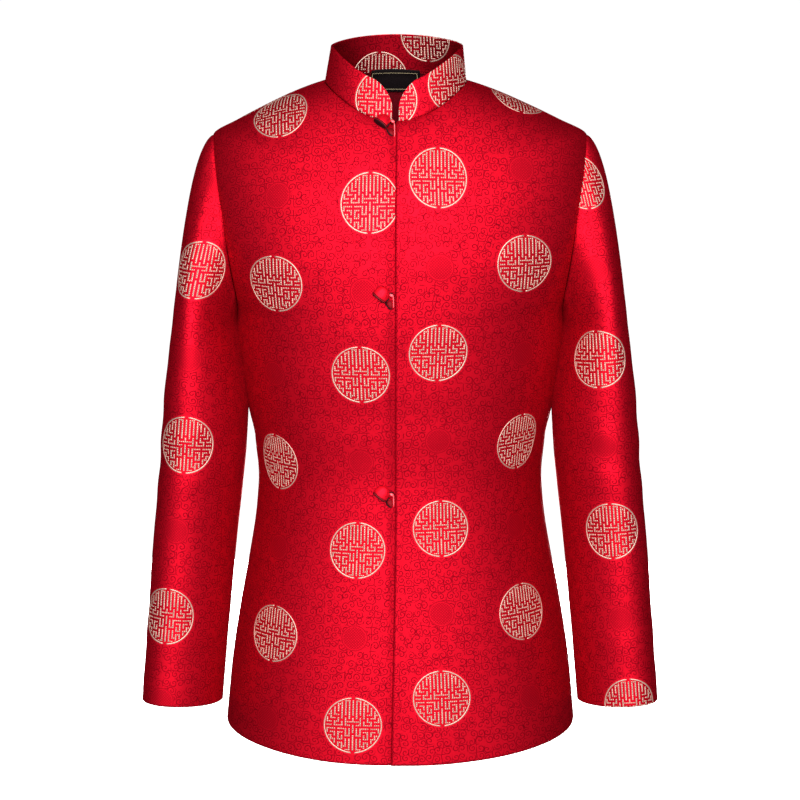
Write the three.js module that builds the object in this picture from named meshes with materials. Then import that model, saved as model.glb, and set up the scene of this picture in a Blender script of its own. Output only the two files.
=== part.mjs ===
// A man's mandarin-collar jacket in red brocade, filled out as it is worn, with no wearer.
// Millimetres, +Z up, +X towards the wearer's left, -Y towards the front.
// The origin lies between the shoulders, level with the points where the collar meets the shoulder seams.
//
// Pieces: two fronts that lap at the middle, one back, two set-in sleeves, a stand collar,
// a neck label, and three pairs of a cord loop and a knotted button.
// The body is a family of rings. A ring is named by its level, the height at which it crosses the
// shoulder seam or the side seam. Above the armholes the rings dip at the front to make the neckline.

import * as THREE from "three";

const WALL = 2; // brocade with its backing and lining
const COLLAR_WALL = 3;
const COLLAR_SEAM_GAP = 0.5;
const SEAM_GAP = 0.3;
const MIDDLE_X = -5; // the neckline and collar sit a little to the wearer's right

const NECK_LEVEL = 0;
const SHOULDER_LEVEL = -62;
const UNDERARM_LEVEL = -267;
const HEM_LEVEL = -771;
const FRONT_NECK_DIP = -37;
const BACK_NECK_RISE = 5;
const DIP_FALLOFF = 2.2;
const FRONT_HEM_DIP = -14;
const BACK_HEM_DIP = -6;
const HEM_DIP_START = -520;
const HEM_FALLOFF = 3;

const UNDERLAP_X = 18;
const LAP_STEP = 2.9; // how far the under front lies below the upper one
const LAP_STEP_START_X = -46;
const LAP_STEP_END_X = -13;

const COLLAR_HEIGHT = 43;
const COLLAR_LEAN = THREE.MathUtils.degToRad(10);
const COLLAR_GAP = 7; // between its two front ends
const COLLAR_END_HEIGHT = 14;
const COLLAR_CORNER = 26; // length of the rounded front corner, along the band
const COLLAR_CORNER_POWER = 1.8;
const COLLAR_END_CROWDING = 0.45; // crowds the band's columns towards its front ends

const LABEL = { width: 58, thick: 0.6, gap: 0.9, topLevel: -2.5, bottomLevel: -27 };

// A knotted button, from its lip at the foot to the top of its dome. Flatness is its depth over its width.
const KNOT = { radius: 8.5, height: 11.5, roundness: 0.85, flatness: 0.62 };
const KNOT_FOOT = [
  [0, -2.4],
  [7.0, -2.4],
  [7.6, -1.8],
  [7.3, -1.2],
  [6.4, -0.9],
  [6.4, -0.5],
]; // radius and height of the lip and of the groove above it
const KNOT_PLACE = { x: -16.5, y: 1.6, rise: 6.0, turn: THREE.MathUtils.degToRad(-37) };
const CORD_RADIUS = 1.25;
// The cord's line from the button's side to the lap edge, down along it, round, and back up to the button.
const CORD_PATH = [
  [-5.0, 5.0, 5.6],
  [-3.8, 4.4, 5.4],
  [-2.3, 2.4, 4.5],
  [-1.75, -1.6, 2.8],
  [-1.75, -8.0, 2.1],
  [-3.2, -12.2, 2.0],
  [-6.6, -13.0, 2.0],
  [-9.2, -10.8, 2.1],
  [-9.2, -7.6, 2.6],
  [-7.4, -4.6, 3.4],
  [-5.0, -2.0, 3.6],
];
const CLOSURE_HEIGHTS = [-44, -232, -469]; // where each loop comes out from under the lap edge

// How the sleeve head springs from the armhole: outwards all round, most at the shoulder, and down.
const CAP_LEAVE = { outwards: 0.5, moreAtShoulder: 0.42, forwards: 0.3, liftAtShoulder: 0.3, down: 0.7 };
const CAP_LEAVE_PULL = 0.41;
const CAP_ARRIVE_PULL = 0.9;

const SHOULDER_STEPS = 6;
const SHOULDER_CROWDING = 1.35;
const ARMHOLE_STEPS = 11;
const SIDE_STEPS = 13;
const FRONT_COLUMNS = 9;
const BACK_COLUMNS = 18;
const ARMHOLE_CROWDING = 1.2;
const CAP_STEPS = 7;
const COLLAR_COLUMNS = 44;
const COLLAR_ROWS = 4;
const LABEL_COLUMNS = 8;
const LABEL_ROWS = 4;
const DOME_STEPS = 8;
const KNOT_SIDES = 16;
const CORD_SIDES = 8;
const CORD_STEPS = 24;
const SLOPE_STEP = 0.1; // how far apart two levels are when a slope is measured between them
const TURN_STEP = 1e-3;

function tableOf(columns, rows) {
  return rows.map((row) => Object.fromEntries(columns.map((name, i) => [name, row[i]])));
}

// Body rings, from the neck seam down: half width, where the ring is widest, how far it reaches forward
// and back, and how square its plan is (2 is an ellipse).
const BODY = tableOf(
  ["level", "halfWidth", "widestY", "frontY", "backY", "squareness"],
  [
    [0, 81.5, 0, -62, 60, 2.0],
    [-5, 98, 1, -67, 64, 2.0],
    [-12, 117, 2, -73, 68, 1.96],
    [-25, 146, 3, -82, 76, 1.88],
    [-45, 186, 5, -94, 86, 1.78],
    [-62, 216, 6, -102, 94, 1.74],
    [-85, 223, 7, -112, 103, 1.84],
    [-110, 226, 8, -118, 110, 1.98],
    [-150, 225, 9, -122, 116, 2.15],
    [-200, 213, 10, -125, 119, 2.3],
    [-240, 199, 12, -125, 117, 2.3],
    [-267, 190.5, 14, -124, 114, 2.3],
    [-300, 188.5, 28, -121, 110, 2.3],
    [-340, 184, 31, -118, 104, 2.3],
    [-373, 180.5, 32, -114, 99, 2.3],
    [-397, 177.5, 32, -112, 96, 2.3],
    [-425, 172, 31, -109, 93, 2.3],
    [-460, 169, 30, -107, 91, 2.3],
    [-500, 170, 28, -108, 92, 2.3],
    [-560, 178.5, 25, -112, 99, 2.3],
    [-622, 190, 20, -118, 109, 2.3],
    [-700, 202, 15, -125, 119, 2.3],
    [-771, 209, 10, -130, 126, 2.3],
  ],
);

// Where the armhole seam crosses each ring, measured sideways from the middle.
const ARMHOLE = tableOf(
  ["level", "frontX", "backX"],
  [
    [-62, 216, 216],
    [-85, 213.5, 215],
    [-110, 210, 213],
    [-150, 203.5, 209],
    [-190, 198.5, 204.5],
    [-227, 193.5, 198],
    [-250, 190.5, 193.5],
    [-267, 190.5, 190.5],
  ],
);

// The front edge of the wearer's left front.
const LAP_EDGE = tableOf(
  ["level", "x"],
  [
    [0, -3.5],
    [-174, -4.8],
    [-470, -4.8],
    [-587, -6],
    [-771, -10],
  ],
);

// Sleeve sections square to the sleeve's own line, from just below the underarm to the cuff.
const SLEEVE = tableOf(
  ["height", "centreX", "centreY", "halfWidth", "halfDepth"],
  [
    [-287, 227, -12, 37.5, 70],
    [-325, 226, -19, 43.3, 66.5],
    [-373, 226.5, -25, 48.5, 62.5],
    [-422, 229.5, -29.5, 49.4, 59.5],
    [-470, 234, -33.5, 49, 57],
    [-519, 239.5, -36, 48.7, 54.5],
    [-568, 244.3, -40, 48.3, 52.5],
    [-618, 248.5, -44, 47.6, 50.5],
    [-672, 253.3, -48.5, 47.3, 49],
    [-728, 257.8, -53, 46.9, 47.2],
  ],
);

// A smooth value between the table's rows that never overshoots them.
function valueAt(rows, key, column, at) {
  const last = rows.length - 1;
  if (at >= rows[0][key]) return rows[0][column];
  if (at <= rows[last][key]) return rows[last][column];
  const i = rows.findIndex((row, k) => k < last && at <= row[key] && at > rows[k + 1][key]);
  const slope = (k) => (rows[k + 1][column] - rows[k][column]) / (rows[k + 1][key] - rows[k][key]);
  const tangent = (k) => {
    if (k === 0) return slope(0);
    if (k === last) return slope(last - 1);
    const before = slope(k - 1);
    const after = slope(k);
    return before * after <= 0 ? 0 : (2 * before * after) / (before + after);
  };
  const width = rows[i + 1][key] - rows[i][key];
  const t = (at - rows[i][key]) / width;
  return (
    (2 * t ** 3 - 3 * t ** 2 + 1) * rows[i][column] +
    (t ** 3 - 2 * t ** 2 + t) * width * tangent(i) +
    (3 * t ** 2 - 2 * t ** 3) * rows[i + 1][column] +
    (t ** 3 - t ** 2) * width * tangent(i + 1)
  );
}

const body = (level, column) => valueAt(BODY, "level", column, level);

function middleAt(level) {
  return MIDDLE_X * THREE.MathUtils.clamp(1 - level / SHOULDER_LEVEL, 0, 1);
}

// A point of the body's outer face. The angle is 0 at the centre front or centre back and 90 degrees at
// the shoulder or side seam, and its sign is the side.
function bodyPoint(half, level, angle) {
  const power = body(level, "squareness");
  const sine = Math.sin(angle);
  const cosine = Math.max(0, Math.cos(angle));
  const size = (Math.abs(sine) ** power + cosine ** power) ** (1 / power);
  const across = sine / size;
  const forward = cosine / size;
  const widest = body(level, "widestY");
  const reach = body(level, half === "front" ? "frontY" : "backY") - widest;
  const shift = half === "front" ? FRONT_NECK_DIP : BACK_NECK_RISE;
  const fade = Math.cos((Math.PI / 2) * Math.min(1, level / UNDERARM_LEVEL)) ** 2;
  const hemShift = half === "front" ? FRONT_HEM_DIP : BACK_HEM_DIP;
  const hemFade = Math.max(0, (level - HEM_DIP_START) / (HEM_LEVEL - HEM_DIP_START)) ** 2;
  return new THREE.Vector3(
    middleAt(level) + body(level, "halfWidth") * across,
    widest + reach * forward,
    level + shift * fade * forward ** DIP_FALLOFF + hemShift * hemFade * forward ** HEM_FALLOFF,
  );
}

function bodyNormal(half, level, angle) {
  const inside = angle - Math.sign(angle || 1) * TURN_STEP;
  const around = bodyPoint(half, level, angle).sub(bodyPoint(half, level, inside));
  const upper = Math.min(NECK_LEVEL, level + SLOPE_STEP);
  const up = bodyPoint(half, upper, angle).sub(bodyPoint(half, upper - 2 * SLOPE_STEP, angle));
  const side = Math.sign(angle || 1) * (half === "front" ? 1 : -1);
  return around.cross(up).multiplyScalar(side).normalize();
}

// The angle at which a ring lies this far sideways from its middle.
function angleAtX(level, x) {
  const power = body(level, "squareness");
  const share = Math.min(1, Math.abs(x - middleAt(level)) / body(level, "halfWidth"));
  const rest = Math.max(1e-12, 1 - share ** power);
  return Math.sign(x - middleAt(level)) * Math.atan((share ** power / rest) ** (1 / power));
}

function edgeAngle(half, level) {
  if (level >= SHOULDER_LEVEL || level <= UNDERARM_LEVEL) return Math.PI / 2;
  return angleAtX(level, valueAt(ARMHOLE, "level", half + "X", level));
}

function levels() {
  const shoulder = Array.from({ length: SHOULDER_STEPS }, (_, i) => {
    return SHOULDER_LEVEL * (i / SHOULDER_STEPS) ** SHOULDER_CROWDING;
  });
  const armhole = armholeLevels().slice(0, -1);
  const side = Array.from({ length: SIDE_STEPS + 1 }, (_, i) => {
    return UNDERARM_LEVEL + ((HEM_LEVEL - UNDERARM_LEVEL) * i) / SIDE_STEPS;
  });
  return [...shoulder, ...armhole, ...side];
}

function armholeLevels() {
  return Array.from({ length: ARMHOLE_STEPS + 1 }, (_, i) => {
    const share = (1 - Math.cos((Math.PI * i) / ARMHOLE_STEPS)) / 2;
    return SHOULDER_LEVEL + (UNDERARM_LEVEL - SHOULDER_LEVEL) * share;
  });
}

// Moves a grid's outermost row or column of points towards the next one, to leave half a seam gap.
function pullBack(edge, next) {
  edge.forEach((point, i) => {
    const way = next[i].clone().sub(point).setLength(SEAM_GAP / 2);
    point.add(way);
  });
}

const columnOf = (grid, j) => grid.map((row) => row.at(j));

// Column angles from the middle out to a side. An armhole crowds the outer columns and leaves the rest.
function spread(from, to, shares) {
  const full = (Math.sign(to) * Math.PI) / 2 - from;
  const lost = 1 - (to - from) / full;
  return shares.map((share) => from + full * share * (1 - lost * share ** ARMHOLE_CROWDING));
}

// A grid of points over part of the body, one row of angles for each level, and a grid one wall below it.
function bodyGrids(half, anglesAt, sunkBy = () => 0) {
  const outer = [];
  const inner = [];
  for (const level of levels()) {
    outer.push([]);
    inner.push([]);
    for (const angle of anglesAt(level)) {
      const point = bodyPoint(half, level, angle);
      const normal = bodyNormal(half, level, angle);
      point.addScaledVector(normal, -sunkBy(point.x));
      outer.at(-1).push(point);
      inner.at(-1).push(point.clone().addScaledVector(normal, -WALL));
    }
  }
  return { outer, inner };
}

// A closed wall between two grids of points. A wrapped grid joins its last column to its first.
function wallBetween({ outer, inner }, wrapped = false) {
  const rows = outer.length;
  const columns = outer[0].length;
  const flat = [...outer.flat(), ...inner.flat()];
  const triangles = [];
  const index = (face, i, j) => face * rows * columns + i * columns + (j % columns);
  const quad = (a, b, c, d) => triangles.push([a, b, c], [a, c, d]);
  const lastColumn = wrapped ? columns : columns - 1;
  for (let i = 0; i < rows - 1; i += 1) {
    for (let j = 0; j < lastColumn; j += 1) {
      quad(index(0, i, j), index(0, i + 1, j), index(0, i + 1, j + 1), index(0, i, j + 1));
      quad(index(1, i, j), index(1, i, j + 1), index(1, i + 1, j + 1), index(1, i + 1, j));
    }
    if (!wrapped) {
      quad(index(0, i, 0), index(1, i, 0), index(1, i + 1, 0), index(0, i + 1, 0));
      const j = lastColumn;
      quad(index(0, i, j), index(0, i + 1, j), index(1, i + 1, j), index(1, i, j));
    }
  }
  for (let j = 0; j < lastColumn; j += 1) {
    quad(index(0, 0, j), index(0, 0, j + 1), index(1, 0, j + 1), index(1, 0, j));
    quad(index(0, rows - 1, j), index(1, rows - 1, j), index(1, rows - 1, j + 1), index(0, rows - 1, j + 1));
  }
  const volume = triangles.reduce((sum, [a, b, c]) => {
    return sum + flat[a].dot(flat[b].clone().cross(flat[c]));
  }, 0);
  const facing = volume < 0 ? triangles.map(([a, b, c]) => [a, c, b]) : triangles;
  const geometry = new THREE.BufferGeometry();
  geometry.setAttribute("position", new THREE.Float32BufferAttribute(flat.flatMap((p) => p.toArray()), 3));
  geometry.setIndex(facing.flat());
  geometry.computeVertexNormals();
  return geometry;
}

function seamed({ outer, inner }, edges) {
  for (const grid of [outer, inner]) {
    if (edges.includes("neck")) pullBack(grid[0], grid[1]);
    if (edges.includes("first")) pullBack(columnOf(grid, 0), columnOf(grid, 1));
    if (edges.includes("last")) pullBack(columnOf(grid, -1), columnOf(grid, -2));
  }
  return { outer, inner };
}

function lapEdgeX(level) {
  return valueAt(LAP_EDGE, "level", "x", level);
}

function underlapSink(x) {
  return LAP_STEP * THREE.MathUtils.smoothstep(x, LAP_STEP_START_X, LAP_STEP_END_X);
}

const sharesOf = (columns) => Array.from({ length: columns + 1 }, (_, j) => j / columns);

function upperFront() {
  const shares = sharesOf(FRONT_COLUMNS);
  const angles = (level) => spread(angleAtX(level, lapEdgeX(level)), edgeAngle("front", level), shares);
  return wallBetween(seamed(bodyGrids("front", angles), ["neck", "last"]));
}

function underFront() {
  const shares = sharesOf(FRONT_COLUMNS + 1);
  const angles = (level) => spread(angleAtX(level, UNDERLAP_X), -edgeAngle("front", level), shares);
  return wallBetween(seamed(bodyGrids("front", angles, underlapSink), ["neck", "last"]));
}

function back() {
  const shares = sharesOf(BACK_COLUMNS / 2);
  const angles = (level) => {
    const left = spread(0, edgeAngle("back", level), shares);
    return [...left.slice(1).map((angle) => -angle).reverse(), ...left];
  };
  return wallBetween(seamed(bodyGrids("back", angles), ["neck", "first", "last"]));
}

// The armhole seam as a loop of points: shoulder, front, underarm, back.
function armholeLoop(side) {
  const seam = (half, level) => {
    const point = bodyPoint(half, level, side * edgeAngle(half, level));
    return point.add(new THREE.Vector3(side * SEAM_GAP, 0, 0));
  };
  const down = armholeLevels();
  const up = down.slice(1, -1).reverse();
  return [...down.map((level) => seam("front", level)), ...up.map((level) => seam("back", level))];
}

// A ring of the sleeve square to its own line, matched point by point to the armhole loop.
function sleeveRing(side, height, count) {
  const at = (column, z) => valueAt(SLEEVE, "height", column, z);
  const centre = (z) => new THREE.Vector3(side * at("centreX", z), at("centreY", z), z);
  const top = SLEEVE[0].height - SLOPE_STEP;
  const near = THREE.MathUtils.clamp(height, SLEEVE.at(-1).height + SLOPE_STEP, top);
  const along = centre(near - SLOPE_STEP).sub(centre(near + SLOPE_STEP)).normalize();
  const across = new THREE.Vector3(side, 0, 0).addScaledVector(along, -side * along.x).normalize();
  const forward = new THREE.Vector3(0, -1, 0).addScaledVector(along, along.y).normalize();
  return Array.from({ length: count }, (_, k) => {
    const turn = (2 * Math.PI * k) / count;
    return centre(height)
      .addScaledVector(across, at("halfWidth", height) * Math.cos(turn))
      .addScaledVector(forward, at("halfDepth", height) * Math.sin(turn));
  });
}

// The sleeve head: each point leaves the armhole outwards and turns down into the sleeve.
function capRings(side, seam, below, next) {
  const leave = (k) => {
    const turn = (2 * Math.PI * k) / seam.length;
    const shoulder = Math.cos(turn);
    return new THREE.Vector3(
      side * (CAP_LEAVE.outwards + CAP_LEAVE.moreAtShoulder * shoulder),
      -CAP_LEAVE.forwards * Math.sin(turn),
      CAP_LEAVE.liftAtShoulder * shoulder - CAP_LEAVE.down,
    ).normalize();
  };
  const arrive = (k) => next[k].clone().sub(below[k]).normalize();
  return Array.from({ length: CAP_STEPS }, (_, i) => {
    const t = i / CAP_STEPS;
    return seam.map((from, k) => {
      const to = below[k];
      const far = from.distanceTo(to);
      return from
        .clone()
        .multiplyScalar(2 * t ** 3 - 3 * t ** 2 + 1)
        .addScaledVector(leave(k), CAP_LEAVE_PULL * far * (t ** 3 - 2 * t ** 2 + t))
        .addScaledVector(to, 3 * t ** 2 - 2 * t ** 3)
        .addScaledVector(arrive(k), CAP_ARRIVE_PULL * far * (t ** 3 - t ** 2));
    });
  });
}

function sleeve(side) {
  const seam = armholeLoop(side);
  const straight = SLEEVE.map((row) => sleeveRing(side, row.height, seam.length));
  const outer = [...capRings(side, seam, straight[0], straight[1]), ...straight];
  return wallBetween(withInnerFace(outer, WALL), true);
}

// A second grid one wall inside a wrapped grid of rings.
function withInnerFace(outer, wall) {
  const count = outer[0].length;
  const inner = outer.map((ring, i) => {
    const middle = ring.reduce((sum, p) => sum.add(p), new THREE.Vector3()).divideScalar(count);
    return ring.map((point, k) => {
      const around = ring[(k + 1) % count].clone().sub(ring[(k + count - 1) % count]);
      const upper = outer[Math.max(0, i - 1)][k];
      const lower = outer[Math.min(outer.length - 1, i + 1)][k];
      const normal = around.cross(lower.clone().sub(upper)).normalize();
      if (normal.dot(point.clone().sub(middle)) > 0) normal.negate();
      return point.clone().addScaledVector(normal, wall);
    });
  });
  return { outer, inner };
}

// The neck seam, turning from the centre front past the wearer's right, the back and the left.
function neckPoint(turn) {
  const half = Math.cos(turn) > 0 ? "front" : "back";
  const angle = Math.atan2(-Math.sin(turn), Math.abs(Math.cos(turn)));
  return bodyPoint(half, NECK_LEVEL, angle);
}

function collarHeight(fromEnd) {
  if (fromEnd >= COLLAR_CORNER) return COLLAR_HEIGHT;
  const share = (1 - (1 - fromEnd / COLLAR_CORNER) ** COLLAR_CORNER_POWER) ** (1 / COLLAR_CORNER_POWER);
  return COLLAR_END_HEIGHT + (COLLAR_HEIGHT - COLLAR_END_HEIGHT) * share;
}

function collar() {
  const start = Math.asin(COLLAR_GAP / 2 / body(NECK_LEVEL, "halfWidth"));
  const turns = Array.from({ length: COLLAR_COLUMNS + 1 }, (_, j) => {
    const share = j / COLLAR_COLUMNS;
    const eased = share - (COLLAR_END_CROWDING * Math.sin(2 * Math.PI * share)) / (2 * Math.PI);
    return start + (2 * Math.PI - 2 * start) * eased;
  });
  const seam = turns.map(neckPoint);
  const run = [0];
  seam.slice(1).forEach((point, j) => run.push(run[j] + point.distanceTo(seam[j])));
  const length = run.at(-1);
  const centre = new THREE.Vector3(MIDDLE_X, 0, 0);
  const outer = [];
  const inner = [];
  for (let i = 0; i <= COLLAR_ROWS; i += 1) {
    outer.push([]);
    inner.push([]);
    seam.forEach((point, j) => {
      const inward = centre.clone().sub(point).setZ(0).normalize();
      const height = (collarHeight(Math.min(run[j], length - run[j])) * i) / COLLAR_ROWS;
      const outside = point
        .clone()
        .add(new THREE.Vector3(0, 0, COLLAR_SEAM_GAP + height * Math.cos(COLLAR_LEAN)))
        .addScaledVector(inward, height * Math.sin(COLLAR_LEAN));
      outer.at(-1).push(outside);
      inner.at(-1).push(outside.clone().addScaledVector(inward, COLLAR_WALL));
    });
  }
  return wallBetween({ outer, inner });
}

// The label lies on the inside of the back, just below the collar seam.
function label() {
  const outer = [];
  const inner = [];
  for (let i = 0; i <= LABEL_ROWS; i += 1) {
    const level = LABEL.topLevel + ((LABEL.bottomLevel - LABEL.topLevel) * i) / LABEL_ROWS;
    outer.push([]);
    inner.push([]);
    for (let j = 0; j <= LABEL_COLUMNS; j += 1) {
      const x = MIDDLE_X + LABEL.width * (j / LABEL_COLUMNS - 1 / 2);
      const angle = angleAtX(level, x);
      const point = bodyPoint("back", level, angle);
      const normal = bodyNormal("back", level, angle);
      outer.at(-1).push(point.clone().addScaledVector(normal, -WALL - LABEL.gap));
      inner.at(-1).push(point.clone().addScaledVector(normal, -WALL - LABEL.gap - LABEL.thick));
    }
  }
  return wallBetween({ outer, inner });
}

// A frame on the under front where a loop leaves the lap edge: x to the wearer's left, y up, z outwards.
function closureFrame(height) {
  let level = height;
  const miss = () => height - bodyPoint("front", level, angleAtX(level, lapEdgeX(level))).z;
  while (Math.abs(miss()) > 1e-6) level += miss();
  const x = lapEdgeX(level);
  const angle = angleAtX(level, x);
  const outward = bodyNormal("front", level, angle);
  const sideways = new THREE.Vector3(1, 0, 0).addScaledVector(outward, -outward.x).normalize();
  const upward = outward.clone().cross(sideways);
  const origin = bodyPoint("front", level, angle).addScaledVector(outward, -LAP_STEP);
  return new THREE.Matrix4().makeBasis(sideways, upward, outward).setPosition(origin);
}

// The knotted button: a flattened dome over a thin lip, lying on the under front.
function knot(height) {
  const dome = Array.from({ length: DOME_STEPS }, (_, i) => {
    const turn = (Math.PI / 2) * (i / DOME_STEPS);
    return [KNOT.radius * Math.cos(turn) ** KNOT.roundness, KNOT.height * Math.sin(turn)];
  });
  const profile = [...KNOT_FOOT, ...dome, [0, KNOT.height]];
  const geometry = new THREE.LatheGeometry(
    profile.map(([radius, up]) => new THREE.Vector2(radius, up)),
    KNOT_SIDES,
  );
  geometry.rotateZ(KNOT_PLACE.turn);
  geometry.scale(1, 1, KNOT.flatness);
  geometry.translate(KNOT_PLACE.x, KNOT_PLACE.y, KNOT_PLACE.rise);
  return geometry.applyMatrix4(closureFrame(height));
}

function loop(height) {
  const path = new THREE.CatmullRomCurve3(CORD_PATH.map((point) => new THREE.Vector3(...point)));
  const section = new THREE.Shape(
    Array.from({ length: CORD_SIDES }, (_, i) => {
      const turn = (2 * Math.PI * (i + 0.5)) / CORD_SIDES;
      return new THREE.Vector2(CORD_RADIUS * Math.cos(turn), CORD_RADIUS * Math.sin(turn));
    }),
  );
  const geometry = new THREE.ExtrudeGeometry(section, { steps: CORD_STEPS, extrudePath: path });
  return geometry.applyMatrix4(closureFrame(height));
}

const brocade = new THREE.MeshStandardMaterial({ color: 0xd8102a, roughness: 0.45 });
const redSatin = new THREE.MeshStandardMaterial({ color: 0xb00c20, roughness: 0.35 });
const blackSatin = new THREE.MeshStandardMaterial({ color: 0x140c10, roughness: 0.4 });

const jacket = new THREE.Group();

function add(name, geometry, material) {
  const mesh = new THREE.Mesh(geometry, material);
  mesh.name = name;
  jacket.add(mesh);
}

add("front_left", upperFront(), brocade);
add("front_right", underFront(), brocade);
add("back", back(), brocade);
add("sleeve_left", sleeve(1), brocade);
add("sleeve_right", sleeve(-1), brocade);
add("collar", collar(), brocade);
add("neck_label", label(), blackSatin);
CLOSURE_HEIGHTS.forEach((height, i) => {
  add(`knot_button_${i + 1}`, knot(height), redSatin);
  add(`cord_loop_${i + 1}`, loop(height), redSatin);
});

export default jacket;
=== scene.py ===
"""Looks of a brocade jacket with a stand collar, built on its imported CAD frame.

Shapes are worked out in millimetres and turned into metres when a mesh is made.
+X is towards the wearer's left, -Y towards the front and +Z up.
"""

import math
import random

import bmesh
import bpy
import numpy as np
from bpy.props import FloatProperty, FloatVectorProperty, PointerProperty
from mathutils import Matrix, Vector


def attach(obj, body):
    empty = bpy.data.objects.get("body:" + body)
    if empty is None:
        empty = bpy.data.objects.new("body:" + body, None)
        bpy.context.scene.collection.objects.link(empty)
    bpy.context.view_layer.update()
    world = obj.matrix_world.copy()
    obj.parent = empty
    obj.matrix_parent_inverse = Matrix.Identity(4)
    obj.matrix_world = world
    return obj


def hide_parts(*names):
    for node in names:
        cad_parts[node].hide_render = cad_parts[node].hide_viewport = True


bl_info = {
    "name": "Brocade Jacket",
    "version": (1, 0, 0),
    "blender": (4, 5, 0),
    "location": "View3D > Sidebar > Jacket",
    "description": "Builds a lapped brocade jacket with a stand collar and knotted buttons",
    "category": "Add Mesh",
}

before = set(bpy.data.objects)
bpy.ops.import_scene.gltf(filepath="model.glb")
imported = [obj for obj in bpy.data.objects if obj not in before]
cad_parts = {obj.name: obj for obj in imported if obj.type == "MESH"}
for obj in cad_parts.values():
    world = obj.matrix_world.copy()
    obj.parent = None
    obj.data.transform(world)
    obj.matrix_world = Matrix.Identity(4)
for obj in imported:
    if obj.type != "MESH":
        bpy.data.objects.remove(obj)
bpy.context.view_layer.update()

MM = 0.001
UP = np.array([0.0, 0.0, 1.0])
WALL = 2.0
COLLAR_WALL = 3.0
LABEL_WALL = 0.6
# Shares of half a wall by which a panel's rounded edge draws in and thins.
EDGE_DRAW = 0.62
EDGE_THIN = 0.3
# A sleeve starts this much inside the armhole's edge, so that no gap shows.
SLEEVE_OVERLAP = 1.2
# The neck's middle lies to the wearer's right of the body's.
MIDDLE_X = -5.0

NECK_LEVEL = 0.0
SHOULDER_LEVEL = -62.0
UNDERARM_LEVEL = -267.0
HEM_LEVEL = -771.0
HEM_DIP_START = -520.0
HEM_FALLOFF = 3.0
DIP_FALLOFF = 2.2
NECK_SHIFT = {"front": -37.0, "back": 5.0}
HEM_SHIFT = {"front": -14.0, "back": -6.0}
ARMHOLE_CROWDING = 1.2

# Rows of mesh down the shoulder and the side, and columns across half a body panel.
SHOULDER_ROWS = 34
SIDE_ROWS = 165
HALF_PANEL_COLUMNS = 56
SHOULDER_CROWDING = 1.25
# Close rows at a rounded edge, as shares of an ordinary row.
CLOSE_ROWS = np.array([0, 0.2, 0.5, 0.9]) * 1.6

UNDERLAP_X = 18.0
LAP_STEP = 2.9
LAP_STEP_START_X = -46.0
LAP_STEP_END_X = -13.0
LAP_ROLL = 1.6

COLLAR_HEIGHT = 43.0
COLLAR_OVERLAP = 0.8
COLLAR_LEAN = math.radians(10)
COLLAR_GAP = 7.0
COLLAR_END_HEIGHT = 14.0
COLLAR_CORNER = 26.0
COLLAR_CORNER_POWER = 1.8
COLLAR_BACK_RISE = 1.8
COLLAR_LEFT_UPRIGHT = 0.45

CLOSURE_HEIGHTS = (-44.0, -232.0, -469.0)


def table(names, rows):
    """Named columns of numbers."""
    return {name: np.array(column, float) for name, column in zip(names.split(), zip(*rows))}


# Body rings from the neck seam down, named by the height at which they cross the shoulder or side seam.
BODY = table(
    "level half_width widest_y front_y back_y squareness",
    [
        (0, 81.5, 0, -62, 60, 2.0),
        (-5, 98, 1, -67, 64, 2.0),
        (-12, 117, 2, -73, 68, 1.96),
        (-25, 146, 3, -82, 76, 1.88),
        (-45, 186, 5, -94, 86, 1.78),
        (-62, 216, 6, -102, 94, 1.74),
        (-85, 223, 7, -112, 103, 1.84),
        (-110, 226, 8, -118, 110, 1.98),
        (-150, 225, 9, -122, 116, 2.15),
        (-200, 213, 10, -125, 119, 2.3),
        (-240, 199, 12, -125, 117, 2.3),
        (-267, 190.5, 14, -124, 114, 2.3),
        (-300, 193.5, 28, -121, 110, 2.3),
        (-340, 188.5, 31, -118, 104, 2.3),
        (-373, 183.5, 32, -114, 99, 2.3),
        (-397, 178.5, 32, -112, 96, 2.3),
        (-425, 172, 31, -109, 93, 2.3),
        (-460, 169, 30, -107, 91, 2.3),
        (-500, 170, 28, -108, 92, 2.3),
        (-560, 178.5, 25, -112, 99, 2.3),
        (-622, 190, 20, -118, 109, 2.3),
        (-700, 202, 15, -125, 119, 2.3),
        (-771, 209, 10, -130, 126, 2.3),
    ],
)

# The armhole seam on each ring, sideways from the middle.
ARMHOLE = table(
    "level front_x back_x",
    [
        (-62, 216, 216),
        (-85, 213.5, 215),
        (-110, 210, 213),
        (-150, 203.5, 209),
        (-190, 198.5, 204.5),
        (-227, 193.5, 198),
        (-250, 190.5, 193.5),
        (-267, 190.5, 190.5),
    ],
)

LAP_EDGE = table("level x", [(0, -3.5), (-174, -4.8), (-470, -4.8), (-587, -6), (-771, -10)])

# Sleeve sections square to the sleeve's own line.
SLEEVE = table(
    "level centre_x centre_y half_width half_depth",
    [
        (-287, 227, -12, 37.5, 70),
        (-325, 226, -19, 43.3, 66.5),
        (-373, 226.5, -25, 48.5, 62.5),
        (-422, 229.5, -29.5, 49.4, 59.5),
        (-470, 234, -33.5, 49, 57),
        (-519, 239.5, -36, 48.7, 54.5),
        (-568, 244.3, -40, 48.3, 52.5),
        (-618, 248.5, -44, 47.6, 50.5),
        (-672, 253.3, -48.5, 47.3, 49),
        (-728, 257.8, -53, 46.9, 47.2),
    ],
)

# How far each section is turned: its outermost point stands this share of the half depth forwards.
SLEEVE_TURN = 0.34

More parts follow.
